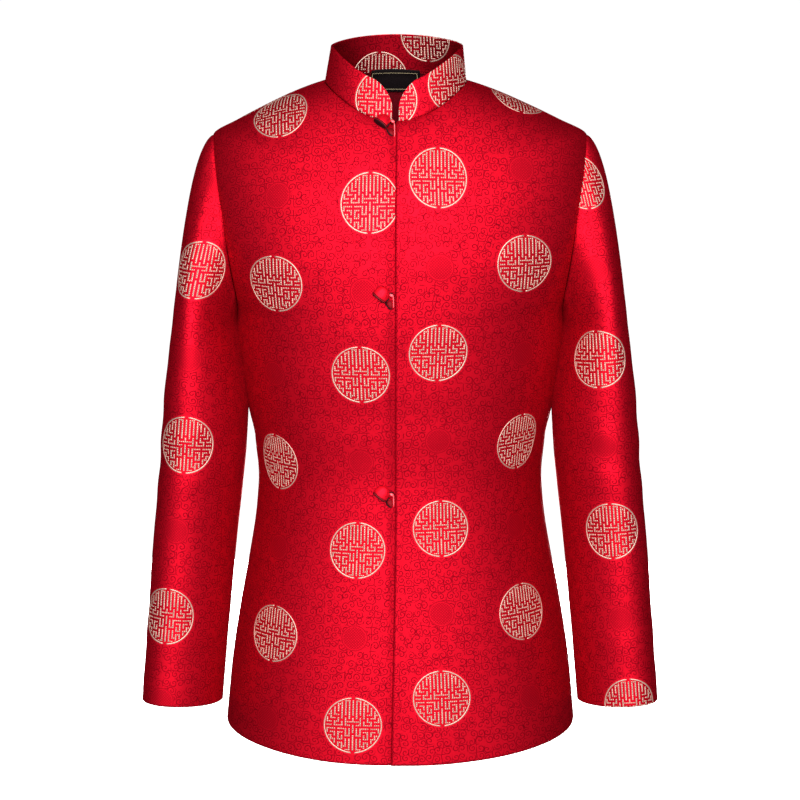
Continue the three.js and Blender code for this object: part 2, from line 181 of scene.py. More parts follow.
# Woven roundels: where the middle of each lies, seen square on. Each piece is cut with its own repeat.
BACK_REPEAT = 205
BACK_LOWEST = -745
ROUNDELS = {
    "front_right": [
        (-138, -32), (-141, -220), (-141.5, -438), (-150.5, -639),
        (-34, -122), (-43, -319.5), (-49, -530), (-54, -736),
    ],
    "front_left": [
        (140, -6), (143.5, -197), (137, -408), (144, -614),
        (40.8, -96.5), (43.8, -294), (46.2, -503), (46.8, -706.5),
    ],
    "back": [
        (x, start - BACK_REPEAT * k)
        for x, start in ((-153, -30), (-51, -118), (51, -20), (153, -112))
        for k in range(4) if start - BACK_REPEAT * k > BACK_LOWEST
    ],
    "sleeve_right": [(-230, -208), (-249, -409), (-271, -615)],
    "sleeve_left": [(205, -112), (225, -309), (246, -513), (269, -722)],
}
# From the roundels on a sleeve's front round its outer side to those on its back.
SLEEVE_COLUMNS = 150.0
# On the collar: the nearest point of the band, then how far along and up the cloth from there.
COLLAR_ROUNDELS = [
    (-18.6, -58, -12, 0, 0), (62, -33, 1, -2, 0), (58, 44, 40, 0, 0), (-32, 62, 4, 0, 0), (0, -60, -12, -14, 0),
]
COLLAR_INSIDE_ROUNDELS = [(-24, 55, 8, 0, -13), (26, 54, 46, 9, 5)]


# ---------------------------------------------------------------- shapes


def hermite(t, start, leave, end, arrive):
    """A cubic from start to end, with the slope at each."""
    return (
        (2 * t**3 - 3 * t**2 + 1) * start
        + (t**3 - 2 * t**2 + t) * leave
        + (3 * t**2 - 2 * t**3) * end
        + (t**3 - t**2) * arrive
    )


def smooth(rows, column, level):
    """A monotone cubic through a table's rows, read at any number of levels."""
    x, y = -rows["level"], rows[column]
    at = np.clip(-np.asarray(level, float), x[0], x[-1])
    i = np.clip(np.searchsorted(x, at, side="right") - 1, 0, len(x) - 2)
    width = np.diff(x)
    slope = np.diff(y) / width
    tangent = np.concatenate([slope[:1], np.zeros(len(x) - 2), slope[-1:]])
    before, after = slope[:-1], slope[1:]
    same = before * after > 0
    tangent[1:-1][same] = 2 * before[same] * after[same] / (before[same] + after[same])
    return hermite((at - x[i]) / width[i], y[i], width[i] * tangent[i], y[i + 1], width[i] * tangent[i + 1])


def ease(x, start, end):
    """0 up to start, 1 from end, smooth between."""
    t = np.clip((x - start) / (end - start), 0, 1)
    return t * t * (3 - 2 * t)


def bump_at(x, centre, width):
    """A soft hump, 1 at its centre."""
    return np.exp(-(((x - centre) / width) ** 2))


def unit(v):
    return v / np.maximum(np.linalg.norm(v, axis=-1, keepdims=True), 1e-12)


def middle_at(level):
    """The body's middle, which moves from the neck's to zero down the shoulders."""
    return MIDDLE_X * np.clip(1 - level / SHOULDER_LEVEL, 0, 1)


def lap_edge_x(level):
    return smooth(LAP_EDGE, "x", level)


def body_point(half, level, angle):
    """A point of the outer face. The angle is 0 at the centre front or back and 90 degrees at the side."""
    level, angle = np.broadcast_arrays(np.asarray(level, float), np.asarray(angle, float))
    power = smooth(BODY, "squareness", level)
    sine, cosine = np.sin(angle), np.maximum(np.cos(angle), 0)
    size = (np.abs(sine) ** power + cosine**power) ** (1 / power)
    across, forward = sine / size, cosine / size
    widest = smooth(BODY, "widest_y", level)
    reach = smooth(BODY, half + "_y", level) - widest
    fade = np.cos(math.pi / 2 * np.minimum(1, level / UNDERARM_LEVEL)) ** 2
    hem_fade = np.maximum(0, (level - HEM_DIP_START) / (HEM_LEVEL - HEM_DIP_START)) ** 2
    dip = NECK_SHIFT[half] * fade * forward**DIP_FALLOFF
    hem_dip = HEM_SHIFT[half] * hem_fade * forward**HEM_FALLOFF
    x = middle_at(level) + smooth(BODY, "half_width", level) * across
    return np.stack([x, widest + reach * forward, level + dip + hem_dip], axis=-1)


def body_normal(half, level, angle):
    """The outward normal of the body, from small steps round it and up it."""
    turn_step, level_step, core_drop = 1e-3, 0.1, 40.0
    side = np.where(np.asarray(angle) < 0, -1.0, 1.0)
    here = body_point(half, level, angle)
    around = here - body_point(half, level, angle - side * turn_step)
    upper = np.minimum(NECK_LEVEL, np.asarray(level, float) + level_step)
    up = body_point(half, upper, angle) - body_point(half, upper - 2 * level_step, angle)
    normal = unit(np.cross(around, up))
    outward = here - np.stack([0 * side, 0 * side, level + 0 * side - core_drop], -1)
    return np.where((normal * outward).sum(-1, keepdims=True) < 0, -normal, normal)


def angle_at_x(level, x):
    """The angle at which a body ring is x from the middle."""
    power = smooth(BODY, "squareness", level)
    off = x - middle_at(level)
    share = np.minimum(1, np.abs(off) / smooth(BODY, "half_width", level))
    rest = np.maximum(1e-12, 1 - share**power)
    return np.sign(off) * np.arctan((share**power / rest) ** (1 / power))


def edge_angle(half, level):
    """Where a panel ends: at the armhole, or at the side."""
    level = np.asarray(level, float)
    inside = (level < SHOULDER_LEVEL) & (level > UNDERARM_LEVEL)
    return np.where(inside, angle_at_x(level, smooth(ARMHOLE, half + "_x", level)), math.pi / 2)


def spread(start, end, shares):
    """Column angles from the middle out to a side; an armhole crowds the outer columns."""
    full = np.sign(end) * math.pi / 2 - start
    lost = 1 - (end - start) / full
    return start[:, None] + full[:, None] * shares * (1 - lost[:, None] * shares**ARMHOLE_CROWDING)


def fine_ends(count, first, last):
    """Shares from 0 to 1, with close rows at the ends that are named, where an edge is rounded."""
    close = CLOSE_ROWS / count
    body = np.linspace(0, 1, count + 1)
    if first:
        body = np.concatenate([close, body[2:]])
    if last:
        body = np.concatenate([body[:-2], 1 - close[::-1]])
    return body


def body_levels():
    """The levels of a body panel's rows, close together at the neck seam and the hem."""
    shoulder = SHOULDER_LEVEL * np.linspace(0, 1, SHOULDER_ROWS) ** SHOULDER_CROWDING
    side = SHOULDER_LEVEL + (HEM_LEVEL - SHOULDER_LEVEL) * fine_ends(SIDE_ROWS, False, True)
    return np.concatenate([[0, -0.25, -0.6], shoulder[1:-1], side])


def grid_normals(grid, wrapped=False):
    """Outward normals of a grid whose rows go down and whose columns go to the right, as seen from outside."""
    if wrapped:
        ring = np.concatenate([grid[:, -1:], grid, grid[:, :1]], axis=1)
        across = (ring[:, 2:] - ring[:, :-2]) / 2
    else:
        across = np.gradient(grid, axis=1)
    down = np.gradient(grid, axis=0)
    return unit(np.cross(down, across))


def from_edge(grid, edge):
    """How far each point lies from one edge of its grid, along the cloth."""
    axis = 0 if edge in ("first_row", "last_row") else 1
    steps = np.linalg.norm(np.diff(grid, axis=axis), axis=-1)
    if edge.startswith("last"):
        steps = np.flip(steps, axis)
    run = np.cumsum(steps, axis=axis)
    pad = [(1, 0), (0, 0)] if axis == 0 else [(0, 0), (1, 0)]
    run = np.pad(run, pad)
    return np.flip(run, axis) if edge.startswith("last") else run


def sink_seams(grid, normals, edges, depth=0.6, width=2.6):
    """Lets the cloth dip into its seams."""
    total = np.zeros(grid.shape[:2])
    for edge in edges:
        total = np.maximum(total, bump_at(from_edge(grid, edge), 0.0, width))
    return grid - normals * (depth * total)[..., None]


def soft_noise(points, seed, size):
    """A smooth, repeatable wave field from a few sines, about -1 to 1."""
    waves, tallest = 7, 3.2
    pick = random.Random(seed)
    total = np.zeros(points.shape[:-1])
    for _ in range(waves):
        way = np.array([pick.gauss(0, 1) for _ in range(3)])
        way *= pick.uniform(0.6, 1.5) * 2 * math.pi / (size * np.linalg.norm(way))
        total += np.sin(points @ way + pick.uniform(0, 2 * math.pi))
    return total / tallest


# ---------------------------------------------------------------- meshes


def make_object(name, vertices, faces, materials, face_materials=None, corners=None):
    """A mesh object in metres. Corners hold a cloth map and, where given, how far each is from the roundels."""
    mesh = bpy.data.meshes.new(name)
    mesh.from_pydata((np.asarray(vertices) * MM).tolist(), [], [list(map(int, f)) for f in faces])
    for material in materials:
        mesh.materials.append(material)
    if face_materials is not None:
        mesh.polygons.foreach_set("material_index", np.asarray(face_materials, np.int32))
    mesh.polygons.foreach_set("use_smooth", np.ones(len(mesh.polygons), bool))
    if corners is not None:
        corners = np.asarray(corners, float)
        layer = mesh.uv_layers.new(name="cloth")
        layer.uv.foreach_set("vector", (corners[:, :2] * MM).ravel())
        if corners.shape[1] > 2:
            note = mesh.attributes.new("roundel_distance", "FLOAT_VECTOR", "CORNER")
            note.data.foreach_set("vector", np.pad(corners[:, 2:], [(0, 0), (0, 1)]).ravel())
    mesh.update()
    piece = bpy.data.objects.new(name, mesh)
    bpy.context.scene.collection.objects.link(piece)
    return piece


def fix_facing(piece):
    """Turns a closed mesh's faces outwards."""
    work = bmesh.new()
    work.from_mesh(piece.data)
    bmesh.ops.recalc_face_normals(work, faces=work.faces)
    work.to_mesh(piece.data)
    work.free()


def cloth_map(grid, up, rounds=300):
    """The cloth laid flat with the least stretch, in millimetres to the right and up as seen from its face.

    Each step between neighbours should be as long and point the same way on the flat as it does on the
    shape, where the grain follows the given up direction. Conjugate gradients share out what can't fit.
    """
    normals = grid_normals(grid)
    rise = unit(up - normals * (up * normals).sum(-1, keepdims=True))
    right = np.cross(rise, normals)
    # Steps and weights come in pairs: across the grid, then down it.
    wanted, length = [], []
    for axis in (1, 0):
        step = np.diff(grid, axis=axis)
        last = grid.shape[axis] - 1
        ends = [np.take(f, range(1, last + 1), axis) + np.take(f, range(last), axis) for f in (right, rise)]
        wanted.append(np.stack([(step * unit(f)).sum(-1) for f in ends], axis=-1))
        length.append(np.linalg.norm(step, axis=-1))
    wide = np.pad(length[0], [(0, 0), (1, 1)], mode="edge")
    tall = np.pad(length[1], [(1, 1), (0, 0)], mode="edge")
    cell_wide, cell_tall = (wide[:, 1:] + wide[:, :-1]) / 2, (tall[1:] + tall[:-1]) / 2
    weights = [
        ((cell_tall[:, 1:] + cell_tall[:, :-1]) / 2 / length[0])[..., None],
        ((cell_wide[1:] + cell_wide[:-1]) / 2 / length[1])[..., None],
    ]

    def gather(across, down, before=-1):
        total = np.zeros((*grid.shape[:2], across.shape[-1]))
        total[:, 1:] += across
        total[:, :-1] += before * across
        total[1:] += down
        total[:-1] += before * down
        return total

    def pull(flat):
        return gather(weights[0] * np.diff(flat, axis=1), weights[1] * np.diff(flat, axis=0))

    spread_out = gather(*weights, before=1)
    middle = grid.shape[1] // 2
    flat = np.zeros((*grid.shape[:2], 2))
    flat[1:, middle] = np.cumsum(wanted[1][:, middle], axis=0)
    spine = flat[:, middle : middle + 1]
    flat[:, middle + 1 :] = spine + np.cumsum(wanted[0][:, middle:], axis=1)
    flat[:, :middle] = spine - np.cumsum(wanted[0][:, :middle][:, ::-1], axis=1)[:, ::-1]
    left = gather(weights[0] * wanted[0], weights[1] * wanted[1]) - pull(flat)
    eased = left / spread_out
    way = eased.copy()
    energy = (left * eased).sum((0, 1))
    for _ in range(rounds):
        pulled = pull(way)
        share = energy / np.maximum((way * pulled).sum((0, 1)), 1e-12)
        flat += share * way
        left -= share * pulled
        eased = left / spread_out
        following = (left * eased).sum((0, 1))
        way = eased + following / np.maximum(energy, 1e-12) * way
        energy = following
        if energy.max() < 1e-7:
            break
    return flat - flat[-1, middle]


def grid_quads(index):
    """The four corners of each cell of a grid of numbers."""
    return np.stack([index[:-1, :-1], index[1:, :-1], index[1:, 1:], index[:-1, 1:]], -1).reshape(-1, 4)


def shell(name, outer, normals, wall, materials, notes, wrapped=False, inner_material=1):
    """A closed piece of cloth: an outer grid, an inner grid one wall below it, and a rounded edge between them.

    A wrapped grid joins its last column to its first. Its notes have one column more than its points.
    """
    rows, columns = outer.shape[:2]
    inner = outer - normals * wall
    rim = wall / 2
    if wrapped:
        loops = [[(0, j) for j in range(columns)], [(rows - 1, j) for j in range(columns)]]
        nexts = [[(1, j) for j in range(columns)], [(rows - 2, j) for j in range(columns)]]
    else:
        loop = (
            [(0, j) for j in range(columns)]
            + [(i, columns - 1) for i in range(1, rows)]
            + [(rows - 1, j) for j in range(columns - 2, -1, -1)]
            + [(i, 0) for i in range(rows - 2, 0, -1)]
        )
        loops = [loop]
        nexts = [[(min(max(i, 1), rows - 2), min(max(j, 1), columns - 2)) for i, j in loop]]
    top, low = outer.copy(), inner.copy()
    rims = []
    for loop, following in zip(loops, nexts):
        i, j = np.array(loop).T
        a, b = np.array(following).T
        way = unit(outer[i, j] - outer[a, b])
        rims.append((outer[i, j] + inner[i, j]) / 2)
        top[i, j] -= way * rim * EDGE_DRAW + normals[i, j] * rim * EDGE_THIN
        low[i, j] -= way * rim * EDGE_DRAW - normals[i, j] * rim * EDGE_THIN
    size = rows * columns
    index = np.arange(size).reshape(rows, columns)
    if wrapped:
        index = np.concatenate([index, index[:, :1]], axis=1)
    quads = grid_quads(index)
    spots = grid_quads(np.arange(notes.shape[0] * notes.shape[1]).reshape(notes.shape[:2]))
    flat_notes = notes.reshape(-1, notes.shape[-1])
    a, b, c, _ = quads[len(quads) // 2]
    flat = top.reshape(-1, 3)
    if np.dot(np.cross(flat[b] - flat[a], flat[c] - flat[a]), normals.reshape(-1, 3)[a]) < 0:
        quads, spots = quads[:, ::-1], spots[:, ::-1]
    faces = [*quads.tolist(), *(quads[:, ::-1] + size).tolist()]
    kinds = [0] * len(quads) + [inner_material] * len(quads)
    inside_notes = flat_notes[spots[:, ::-1]].reshape(-1, notes.shape[-1])
    inside_notes[:, 2:] = FAR_OFF
    corners = [flat_notes[spots].reshape(-1, notes.shape[-1]), inside_notes]
    everything = np.concatenate([top.reshape(-1, 3), low.reshape(-1, 3), *rims])
    start = 2 * size
    for loop, following, mid in zip(loops, nexts, rims):
        count = len(loop)
        here = np.array([i * columns + j for i, j in loop])
        edge = np.arange(count) + start
        for k in range(count):
            m = (k + 1) % count
            note = np.array([notes[loop[k]], notes[loop[m]], notes[loop[m]], notes[loop[k]]])
            away = mid[k] - outer[following[k]]
            for one, other in ((here, edge), (edge, here + size)):
                face = [one[k], one[m], other[m], other[k]]
                a, b, c, d = everything[face]
                way = 1 if np.dot(np.cross(c - a, d - b), away) >= 0 else -1
                faces.append(face[::way])
                kinds.append(0)
                corners.append(note[::way])
        start += count
    return make_object(name, everything, faces, materials, kinds, np.concatenate(corners))


# ---------------------------------------------------------------- roundels

ROUNDEL_PITCH = 4.2
# Half widths of the threads and of the beads in level runs, as shares of a quarter pitch.
ROUNDEL_THREAD = 0.74
ROUNDEL_BEAD = 0.68
ROUNDEL_RIM = (32.0, 33.5)
RIM_STEPS = 96
SMALL_ROUNDEL = 15.0
# Small roundels nearer than this are one.
SMALL_ROUNDEL_JOIN = 40.0
# Half the repeat of the roundels, up and down the cloth.
ROUNDEL_DROP = 102.0
THREAD_RISE = 0.16
THREAD_ROOT = 0.5
# Stands for a place with no roundel near it.
FAR_OFF = 500.0

# Right half of the labyrinth, as runs of thread on a square lattice. The left half mirrors it.
FRET = [
    [(0, 7), (0, 3)],
    [(1, 2), (1, 7), (2, 7), (2, 3)],
    [(3, 2), (3, 6), (4, 6), (4, 4)],
    [(5, 5), (5, 3), (4, 3)],
    [(6, 4), (6, 2), (5, 2)],
    [(0, 2), (0, 1), (2, 1)],
    [(2, 2), (2, 0), (1, 0)],
    [(4, 2), (4, 1), (5, 1), (5, 0), (3, 0), (3, 1)],
    [(7, 2), (7, 1), (6, 1)],
    [(7, 0), (6, 0)],
    [(0, 0), (0, -2)],
    [(1, -1), (1, -3), (2, -3), (2, -1), (4, -1)],
    [(5, -1), (7, -1), (7, -2)],
    [(6, -2), (5, -2), (5, -3)],
    [(3, -2), (4, -2), (4, -4), (3, -4)],
    [(3, -3), (3, -3.5)],
    [(6, -3), (6, -4), (5, -4), (5, -5)],
    [(6.5, 3), (6.5, 3)],
    [(3, 6.5), (3, 6.5)],
    [(6.5, -3), (6.5, -3)],
    [(3, -6.5), (3, -6.5)],
    [(0, -3), (0, -7)],
    [(1, -4), (1, -7), (2, -7)],
    [(2, -4), (2, -6), (3, -6), (3, -5), (4, -5), (4, -6)],
]


def fret_cells():
    """The labyrinth as a set of small square cells, at twice the lattice's fineness."""
    cells = set()
    for run in FRET:
        for (a, b), (c, d) in zip(run, run[1:]):
            steps = int(round(2 * max(abs(c - a), abs(d - b))))
            for k in range(steps + 1):
                share = k / max(steps, 1)
                x, y = round(2 * a + 2 * (c - a) * share), round(2 * b + 2 * (d - b) * share)
                cells.update({(x, y), (-x, y)})
    return cells


def roundel_pattern():
    """The gold of one roundel as flat quads in millimetres. Threads run up and down; level runs are beads."""
    half = ROUNDEL_PITCH / 4
    points, lookup, quads = [], {}, []

    def corner(x, y, own):
        key = (round(x, 3), round(y, 3), own)
        if key not in lookup:
            lookup[key] = len(points)
            points.append(key[:2])
        return lookup[key]

    cells = fret_cells()
    for x, y in sorted(cells):
        left, right = (half * (ROUNDEL_BEAD if (step, y) in cells else ROUNDEL_THREAD) for step in (x - 1, x + 1))
        down, up = (half * (1 if (x, step) in cells else ROUNDEL_THREAD) for step in (y - 1, y + 1))
        cx, cy = x * ROUNDEL_PITCH / 2, y * ROUNDEL_PITCH / 2
        sides = ((-left, -down), (right, -down), (right, up), (-left, up))
        quads.append([corner(cx + a, cy + b, (x, y)) for a, b in sides])
    low, high = ROUNDEL_RIM
    half_turn = RIM_STEPS // 2
    for k in range(RIM_STEPS):
        if k % half_turn in (0, half_turn - 1):
            continue  # the rim opens at its top and bottom
        ring = []
        for turn, radius in ((k, low), (k, high), (k + 1, high), (k + 1, low)):
            angle = 2 * math.pi * turn / RIM_STEPS + math.pi / 2
            ring.append(corner(radius * math.cos(angle), radius * math.sin(angle), None))
        quads.append(ring)
    return np.array(points), quads


def cell_at(grid, i, j):
    """The cell that holds fractional rows and columns, or the nearest one."""
    rows, columns = grid.shape[:2]
    return np.clip(np.floor(i).astype(int), 0, rows - 2), np.clip(np.floor(j).astype(int), 0, columns - 2)


def surface_at(grid, i, j):
    """The grid's value at fractional rows and columns, going straight on past its edges."""
    a, b = cell_at(grid, i, j)
    s, t = (i - a)[..., None], (j - b)[..., None]
    before = grid[a, b] * (1 - s) + grid[a + 1, b] * s
    after = grid[a, b + 1] * (1 - s) + grid[a + 1, b + 1] * s
    return before * (1 - t) + after * t


def locate(flat, targets, rounds=8):
    """Rows and columns at which the laid-out cloth passes through each target."""
    rows, columns = flat.shape[:2]
    every = flat.reshape(-1, 2)
    nearest = np.array([int(((every - target) ** 2).sum(-1).argmin()) for target in targets])
    i, j = (nearest // columns).astype(float), (nearest % columns).astype(float)
    for _ in range(rounds):
        a, b = cell_at(flat, i, j)
        down = flat[a + 1, b] - flat[a, b]
        across = flat[a, b + 1] - flat[a, b]
        gap = targets - surface_at(flat, i, j)
        det = down[:, 0] * across[:, 1] - down[:, 1] * across[:, 0]
        i = np.clip(i + (gap[:, 0] * across[:, 1] - gap[:, 1] * across[:, 0]) / det, -rows, 2 * rows)
        j = np.clip(j + (down[:, 0] * gap[:, 1] - down[:, 1] * gap[:, 0]) / det, -columns, 2 * columns)
    return i, j


def nearest_spot(grid, target, axes):
    """The grid spot nearest to a place given by some of its axes."""
    gap = ((grid[..., axes] - np.asarray(target, float)) ** 2).sum(-1)
    return np.unravel_index(int(gap.argmin()), gap.shape)


def gold_roundels(name, grid, normals, flat, centres, material):
    """Raised gold threads on one piece of cloth, each roundel cut off where the cloth ends."""
    points, quads = roundel_pattern()
    quads = np.array(quads)
    rows, columns = grid.shape[:2]
    vertices, faces, corners = [], [], []
    count = 0
    for centre in centres:
        i, j = locate(flat, points + centre)
        within = (i > 0) & (i < rows - 1) & (j > 0) & (j < columns - 1)
        i, j = np.clip(i, 0, rows - 1), np.clip(j, 0, columns - 1)
        short = np.linalg.norm(surface_at(flat, i, j) - points - centre, axis=-1)
        keep = within[quads].any(axis=1) & (short[quads] < ROUNDEL_PITCH).all(axis=1)
        if not keep.any():
            continue
        base = surface_at(grid, i, j)
        rise = unit(surface_at(normals, i, j))
        vertices += [base + rise * THREAD_RISE, base - rise * THREAD_ROOT]
        size = len(points)
        used = quads[keep].tolist()
        edges = {(a, b) for quad in used for a, b in zip(quad, quad[1:] + quad[:1])}
        for quad in used:
            faces.append([count + k for k in quad])
            corners += [points[k] for k in quad]
            faces.append([count + size + k for k in reversed(quad)])
            corners += [points[k] for k in reversed(quad)]
        for a, b in sorted(edge for edge in edges if edge[::-1] not in edges):
            faces.append([count + b, count + a, count + size + a, count + size + b])
            corners += [points[b], points[a], points[a], points[b]]
        count += 2 * size
    everything = np.concatenate(vertices)
    faces = np.array(faces)
    used = np.unique(faces)
    new = np.full(len(everything), -1)
    new[used] = np.arange(len(used))
    return make_object(name, everything[used], new[faces], [material], None, np.array(corners))


def between(centres):
    """Places half a repeat above and below each roundel; two that nearly meet become one."""
    places = []
    for centre in centres:
        for drop in (-ROUNDEL_DROP, ROUNDEL_DROP):
            place = np.asarray(centre) + (0.0, drop)
            near = [k for k, other in enumerate(places) if np.linalg.norm(other - place) < SMALL_ROUNDEL_JOIN]
            if near:
                places[near[0]] = (places[near[0]] + place) / 2
            else:
                places.append(place)
    return places


def roundel_notes(flat, large, small):
    """The laid-out place of each grid point with its distance to the nearest gold and small roundel."""
    distances = []
    for centres in (large, small):
        nearest = np.full(flat.shape[:2], FAR_OFF)
        for centre in centres:
            nearest = np.minimum(nearest, np.linalg.norm(flat - centre, axis=-1))
        distances.append(nearest[..., None])
    return np.concatenate([flat, *distances], axis=-1)


# ---------------------------------------------------------------- shader maths


BUMP_DISTANCE = 0.0004


class Value:
    """A socket that works in Python expressions: adding, taking away, multiplying and dividing add Math nodes."""

    def __init__(self, paint, socket):
        self.paint = paint
        self.socket = socket

    def math(self, operation, *others):
        return self.paint.node("ShaderNodeMath", {"operation": operation}, dict(enumerate((self, *others))))

    def __add__(self, other):
        return self.math("ADD", other)

    def __sub__(self, other):
        return self.math("SUBTRACT", other)

    def __rsub__(self, other):
        return self.paint.node("ShaderNodeMath", {"operation": "SUBTRACT"}, {0: other, 1: self})

    def __mul__(self, other):
        return self.math("MULTIPLY", other)

    def __truediv__(self, other):
        return self.math("DIVIDE", other)

    __radd__ = __add__
    __rmul__ = __mul__


class Paint:
    """Builds one material's nodes. Settings are made before the sockets are filled."""

    def __init__(self, name):
        self.material = bpy.data.materials.new(name)
        self.material.use_nodes = True
        self.tree = self.material.node_tree
        self.shader = self.tree.nodes["Principled BSDF"]

    def node(self, kind, settings=None, inputs=None, output=0):
        made = self.tree.nodes.new(kind)
        for key, value in (settings or {}).items():
            setattr(made, key, value)
        self.plug(made, inputs or {})
        return Value(self, made.outputs[output])

    def plug(self, made, inputs):
        for key, value in inputs.items():
            socket = made.inputs[key]
            if isinstance(value, Value):
                self.tree.links.new(value.socket, socket)
            else:
                socket.default_value = value

    def mix(self, factor, one, other):
        """Colour one where factor is 0, the other where it is 1."""
        return self.node("ShaderNodeMix", {"data_type": "RGBA"}, {0: factor, 6: one, 7: other}, output=2)

    def step(self, value, start, end):
        """0 up to start, 1 from end, smooth between."""
        ends = {"Value": value, "From Min": start, "From Max": end}
        return self.node("ShaderNodeMapRange", {"interpolation_type": "SMOOTHSTEP"}, ends)

    def line(self, away, core, edge):
        """1 up to core away from a line's middle, 0 from edge."""
        return 1 - self.step(away, core, edge)

    def noise(self, place, scale, detail, output=0):
        """Flat noise over the laid-out cloth."""
        inputs = {"Vector": place, "Scale": scale, "Detail": detail}
        return self.node("ShaderNodeTexNoise", {"noise_dimensions": "2D"}, inputs, output)

    def cloth(self):
        """The cloth map, and its two parts in metres."""
        cloth = self.node("ShaderNodeUVMap", {"uv_map": "cloth"})
        return (cloth, *self.parts(cloth)[:2])

    def parts(self, vector):
        split = self.node("ShaderNodeSeparateXYZ", None, {0: vector}).socket.node
        return [Value(self, split.outputs[k]) for k in range(3)]

    def constants(self, **values):
        """Sets the shader's own sockets, named with underscores for spaces."""
        for key, value in values.items():
            self.shader.inputs[key.replace("_", " ")].default_value = value

    def finish(self, colour, roughness, height, strength, **constants):
        """Joins the varying inputs to the shader and sets the rest."""
        relief = {"Strength": strength, "Distance": BUMP_DISTANCE, "Height": height}
        bump = self.node("ShaderNodeBump", None, relief)
        self.plug(self.shader, {"Base Color": colour, "Roughness": roughness, "Normal": bump})
        self.constants(**constants)
        return self.material


def dark(colour, share):
    return (*(c * share for c in colour[:3]), 1.0)


def rgba(colour):
    return (*colour[:3], 1.0)


def wave(length):
    """Turns metres into the angle of a wave of that length in millimetres."""
    return 2 * math.pi / (length * MM)


# The woven ground, in millimetres. A line is full up to its first number and gone at its second.
SCROLL_SPACING = 9.6
SCROLL_SCATTER = 0.5
SCROLL_PITCH = 3.3
SCROLL_LINE = (0.28, 0.62)
SCROLL_REACH = (4.3, 4.8)
SCROLL_HEART = (0.2, 0.6)
STEM_LINE = (0.22, 0.5)
STEM_BREAKS = (0.42, 0.48)
GROUND_DRIFT = 0.0035
GOLD_FIELD = 34.6
HALO_LINE = (0.4, 1.0)
SMALL_RING_LINE = (0.3, 0.8)
LATTICE_PITCH = 3.3
LATTICE_LINE = (0.12, 0.3)
LATTICE_WEIGHT = 0.55
RING_WEIGHT = 0.6
WEAVE_LENGTHS = (0.55, 0.9)
# Share by which the brocade on the collar's inner face is darkened, as painted shade.
COLLAR_INSIDE_PAINTED_SHADE = 0.5


def scroll_lines(paint, cloth):
    """Curls round scattered centres, joined by broken stems between them: 1 on a line, 0 beside it."""
    spacing = SCROLL_SPACING * MM
    drift = paint.noise(cloth, 60.0, 1.0, output=1)
    bent = paint.node("ShaderNodeMix", {"data_type": "VECTOR"}, {0: GROUND_DRIFT, 4: cloth, 5: drift}, output=1)

    def cells(feature):
        settings = {"voronoi_dimensions": "2D", "feature": feature}
        inputs = {"Vector": bent, "Scale": 1 / spacing, "Randomness": SCROLL_SCATTER}
        return paint.node("ShaderNodeTexVoronoi", settings, inputs)

    nearest = cells("F1").socket.node
    chance_hand, chance_turn, _ = paint.parts(Value(paint, nearest.outputs["Color"]))
    centre = Value(paint, nearest.outputs["Position"])
    x, y, _ = paint.parts(paint.node("ShaderNodeVectorMath", {"operation": "SUBTRACT"}, {0: bent, 1: centre}))
    radius = (x * x + y * y).math("SQRT") / MM
    hand = chance_hand.math("GREATER_THAN", 0.5) * 2.0 - 1.0
    turns = radius / SCROLL_PITCH + y.math("ARCTAN2", x) / (2 * math.pi) * hand + chance_turn
    off_line = (turns.math("FRACT") - 0.5).math("ABSOLUTE") * SCROLL_PITCH
    kept = paint.line(radius, *SCROLL_REACH) * paint.step(radius, *SCROLL_HEART)
    curl = paint.line(off_line, *SCROLL_LINE) * kept
    border = cells("DISTANCE_TO_EDGE") * (spacing / MM)
    stem = paint.line(border, *STEM_LINE) * paint.step(paint.noise(cloth, 95.0, 0.0), *STEM_BREAKS)
    return curl.math("MAXIMUM", stem)


def small_roundel_lines(paint, small_out, u, v):
    """A ring round a fine lattice, fainter than the scrolls."""
    ring = paint.line((small_out - SMALL_ROUNDEL).math("ABSOLUTE"), *SMALL_RING_LINE)
    pitch = LATTICE_PITCH * MM
    one, other = (
        paint.line(((way / pitch).math("FRACT") - 0.5).math("ABSOLUTE"), *LATTICE_LINE) for way in (u + v, u - v)
    )
    inside = paint.line(small_out, SMALL_ROUNDEL - 2.2, SMALL_ROUNDEL - 1.2)
    hatch = one.math("MAXIMUM", other) * inside * LATTICE_WEIGHT
    return (ring * RING_WEIGHT).math("MAXIMUM", hatch)


def brocade_material(name, colours, shade=1.0):
    """Red satin ground with darker scrolls, plain fields behind the gold and small self-coloured roundels; a shade
    below 1 darkens it all as painted shade.
    """
    paint = Paint(name)
    red = dark(colours.brocade, shade)
    cloth, u, v = paint.cloth()
    note = paint.node("ShaderNodeAttribute", {"attribute_name": "roundel_distance"}, None, output=1)
    out, small_out, _ = paint.parts(note)
    gold_field = paint.line(out, GOLD_FIELD, GOLD_FIELD + 1.0)
    small_field = paint.line(small_out, SMALL_ROUNDEL + 0.2, SMALL_ROUNDEL + 1.4)
    scroll = scroll_lines(paint, cloth) * (1 - gold_field.math("MAXIMUM", small_field))
    lines = scroll.math("MAXIMUM", small_roundel_lines(paint, small_out, u, v))

    fleck = paint.noise(cloth, 700.0, 2.0)
    cloud = paint.noise(cloth, 14.0, 2.0)
    ground = paint.mix(cloud, dark(red, 0.9), red)
    ground = paint.mix(paint.step(fleck, 0.35, 0.75) * 0.25, ground, dark(red, 0.72))
    halo = paint.line((out - GOLD_FIELD).math("ABSOLUTE"), *HALO_LINE)
    ground = paint.mix(halo * 0.6, ground, rgba(colours.halo))
    colour = paint.mix(lines * 0.9, ground, dark(colours.scroll, shade))
    across, along = WEAVE_LENGTHS
    weave = (u * wave(across) + v * wave(along)).math("SINE") * 0.12
    height = fleck * 0.5 + weave - lines * 0.8
    sheen = {"Metallic": 0.95, "Specular_IOR_Level": 0.05, "Specular_Tint": (0.75, 0.03, 0.06, 1.0)}
    return paint.finish(colour, 0.635 + lines * 0.08, height, 0.2, **sheen)


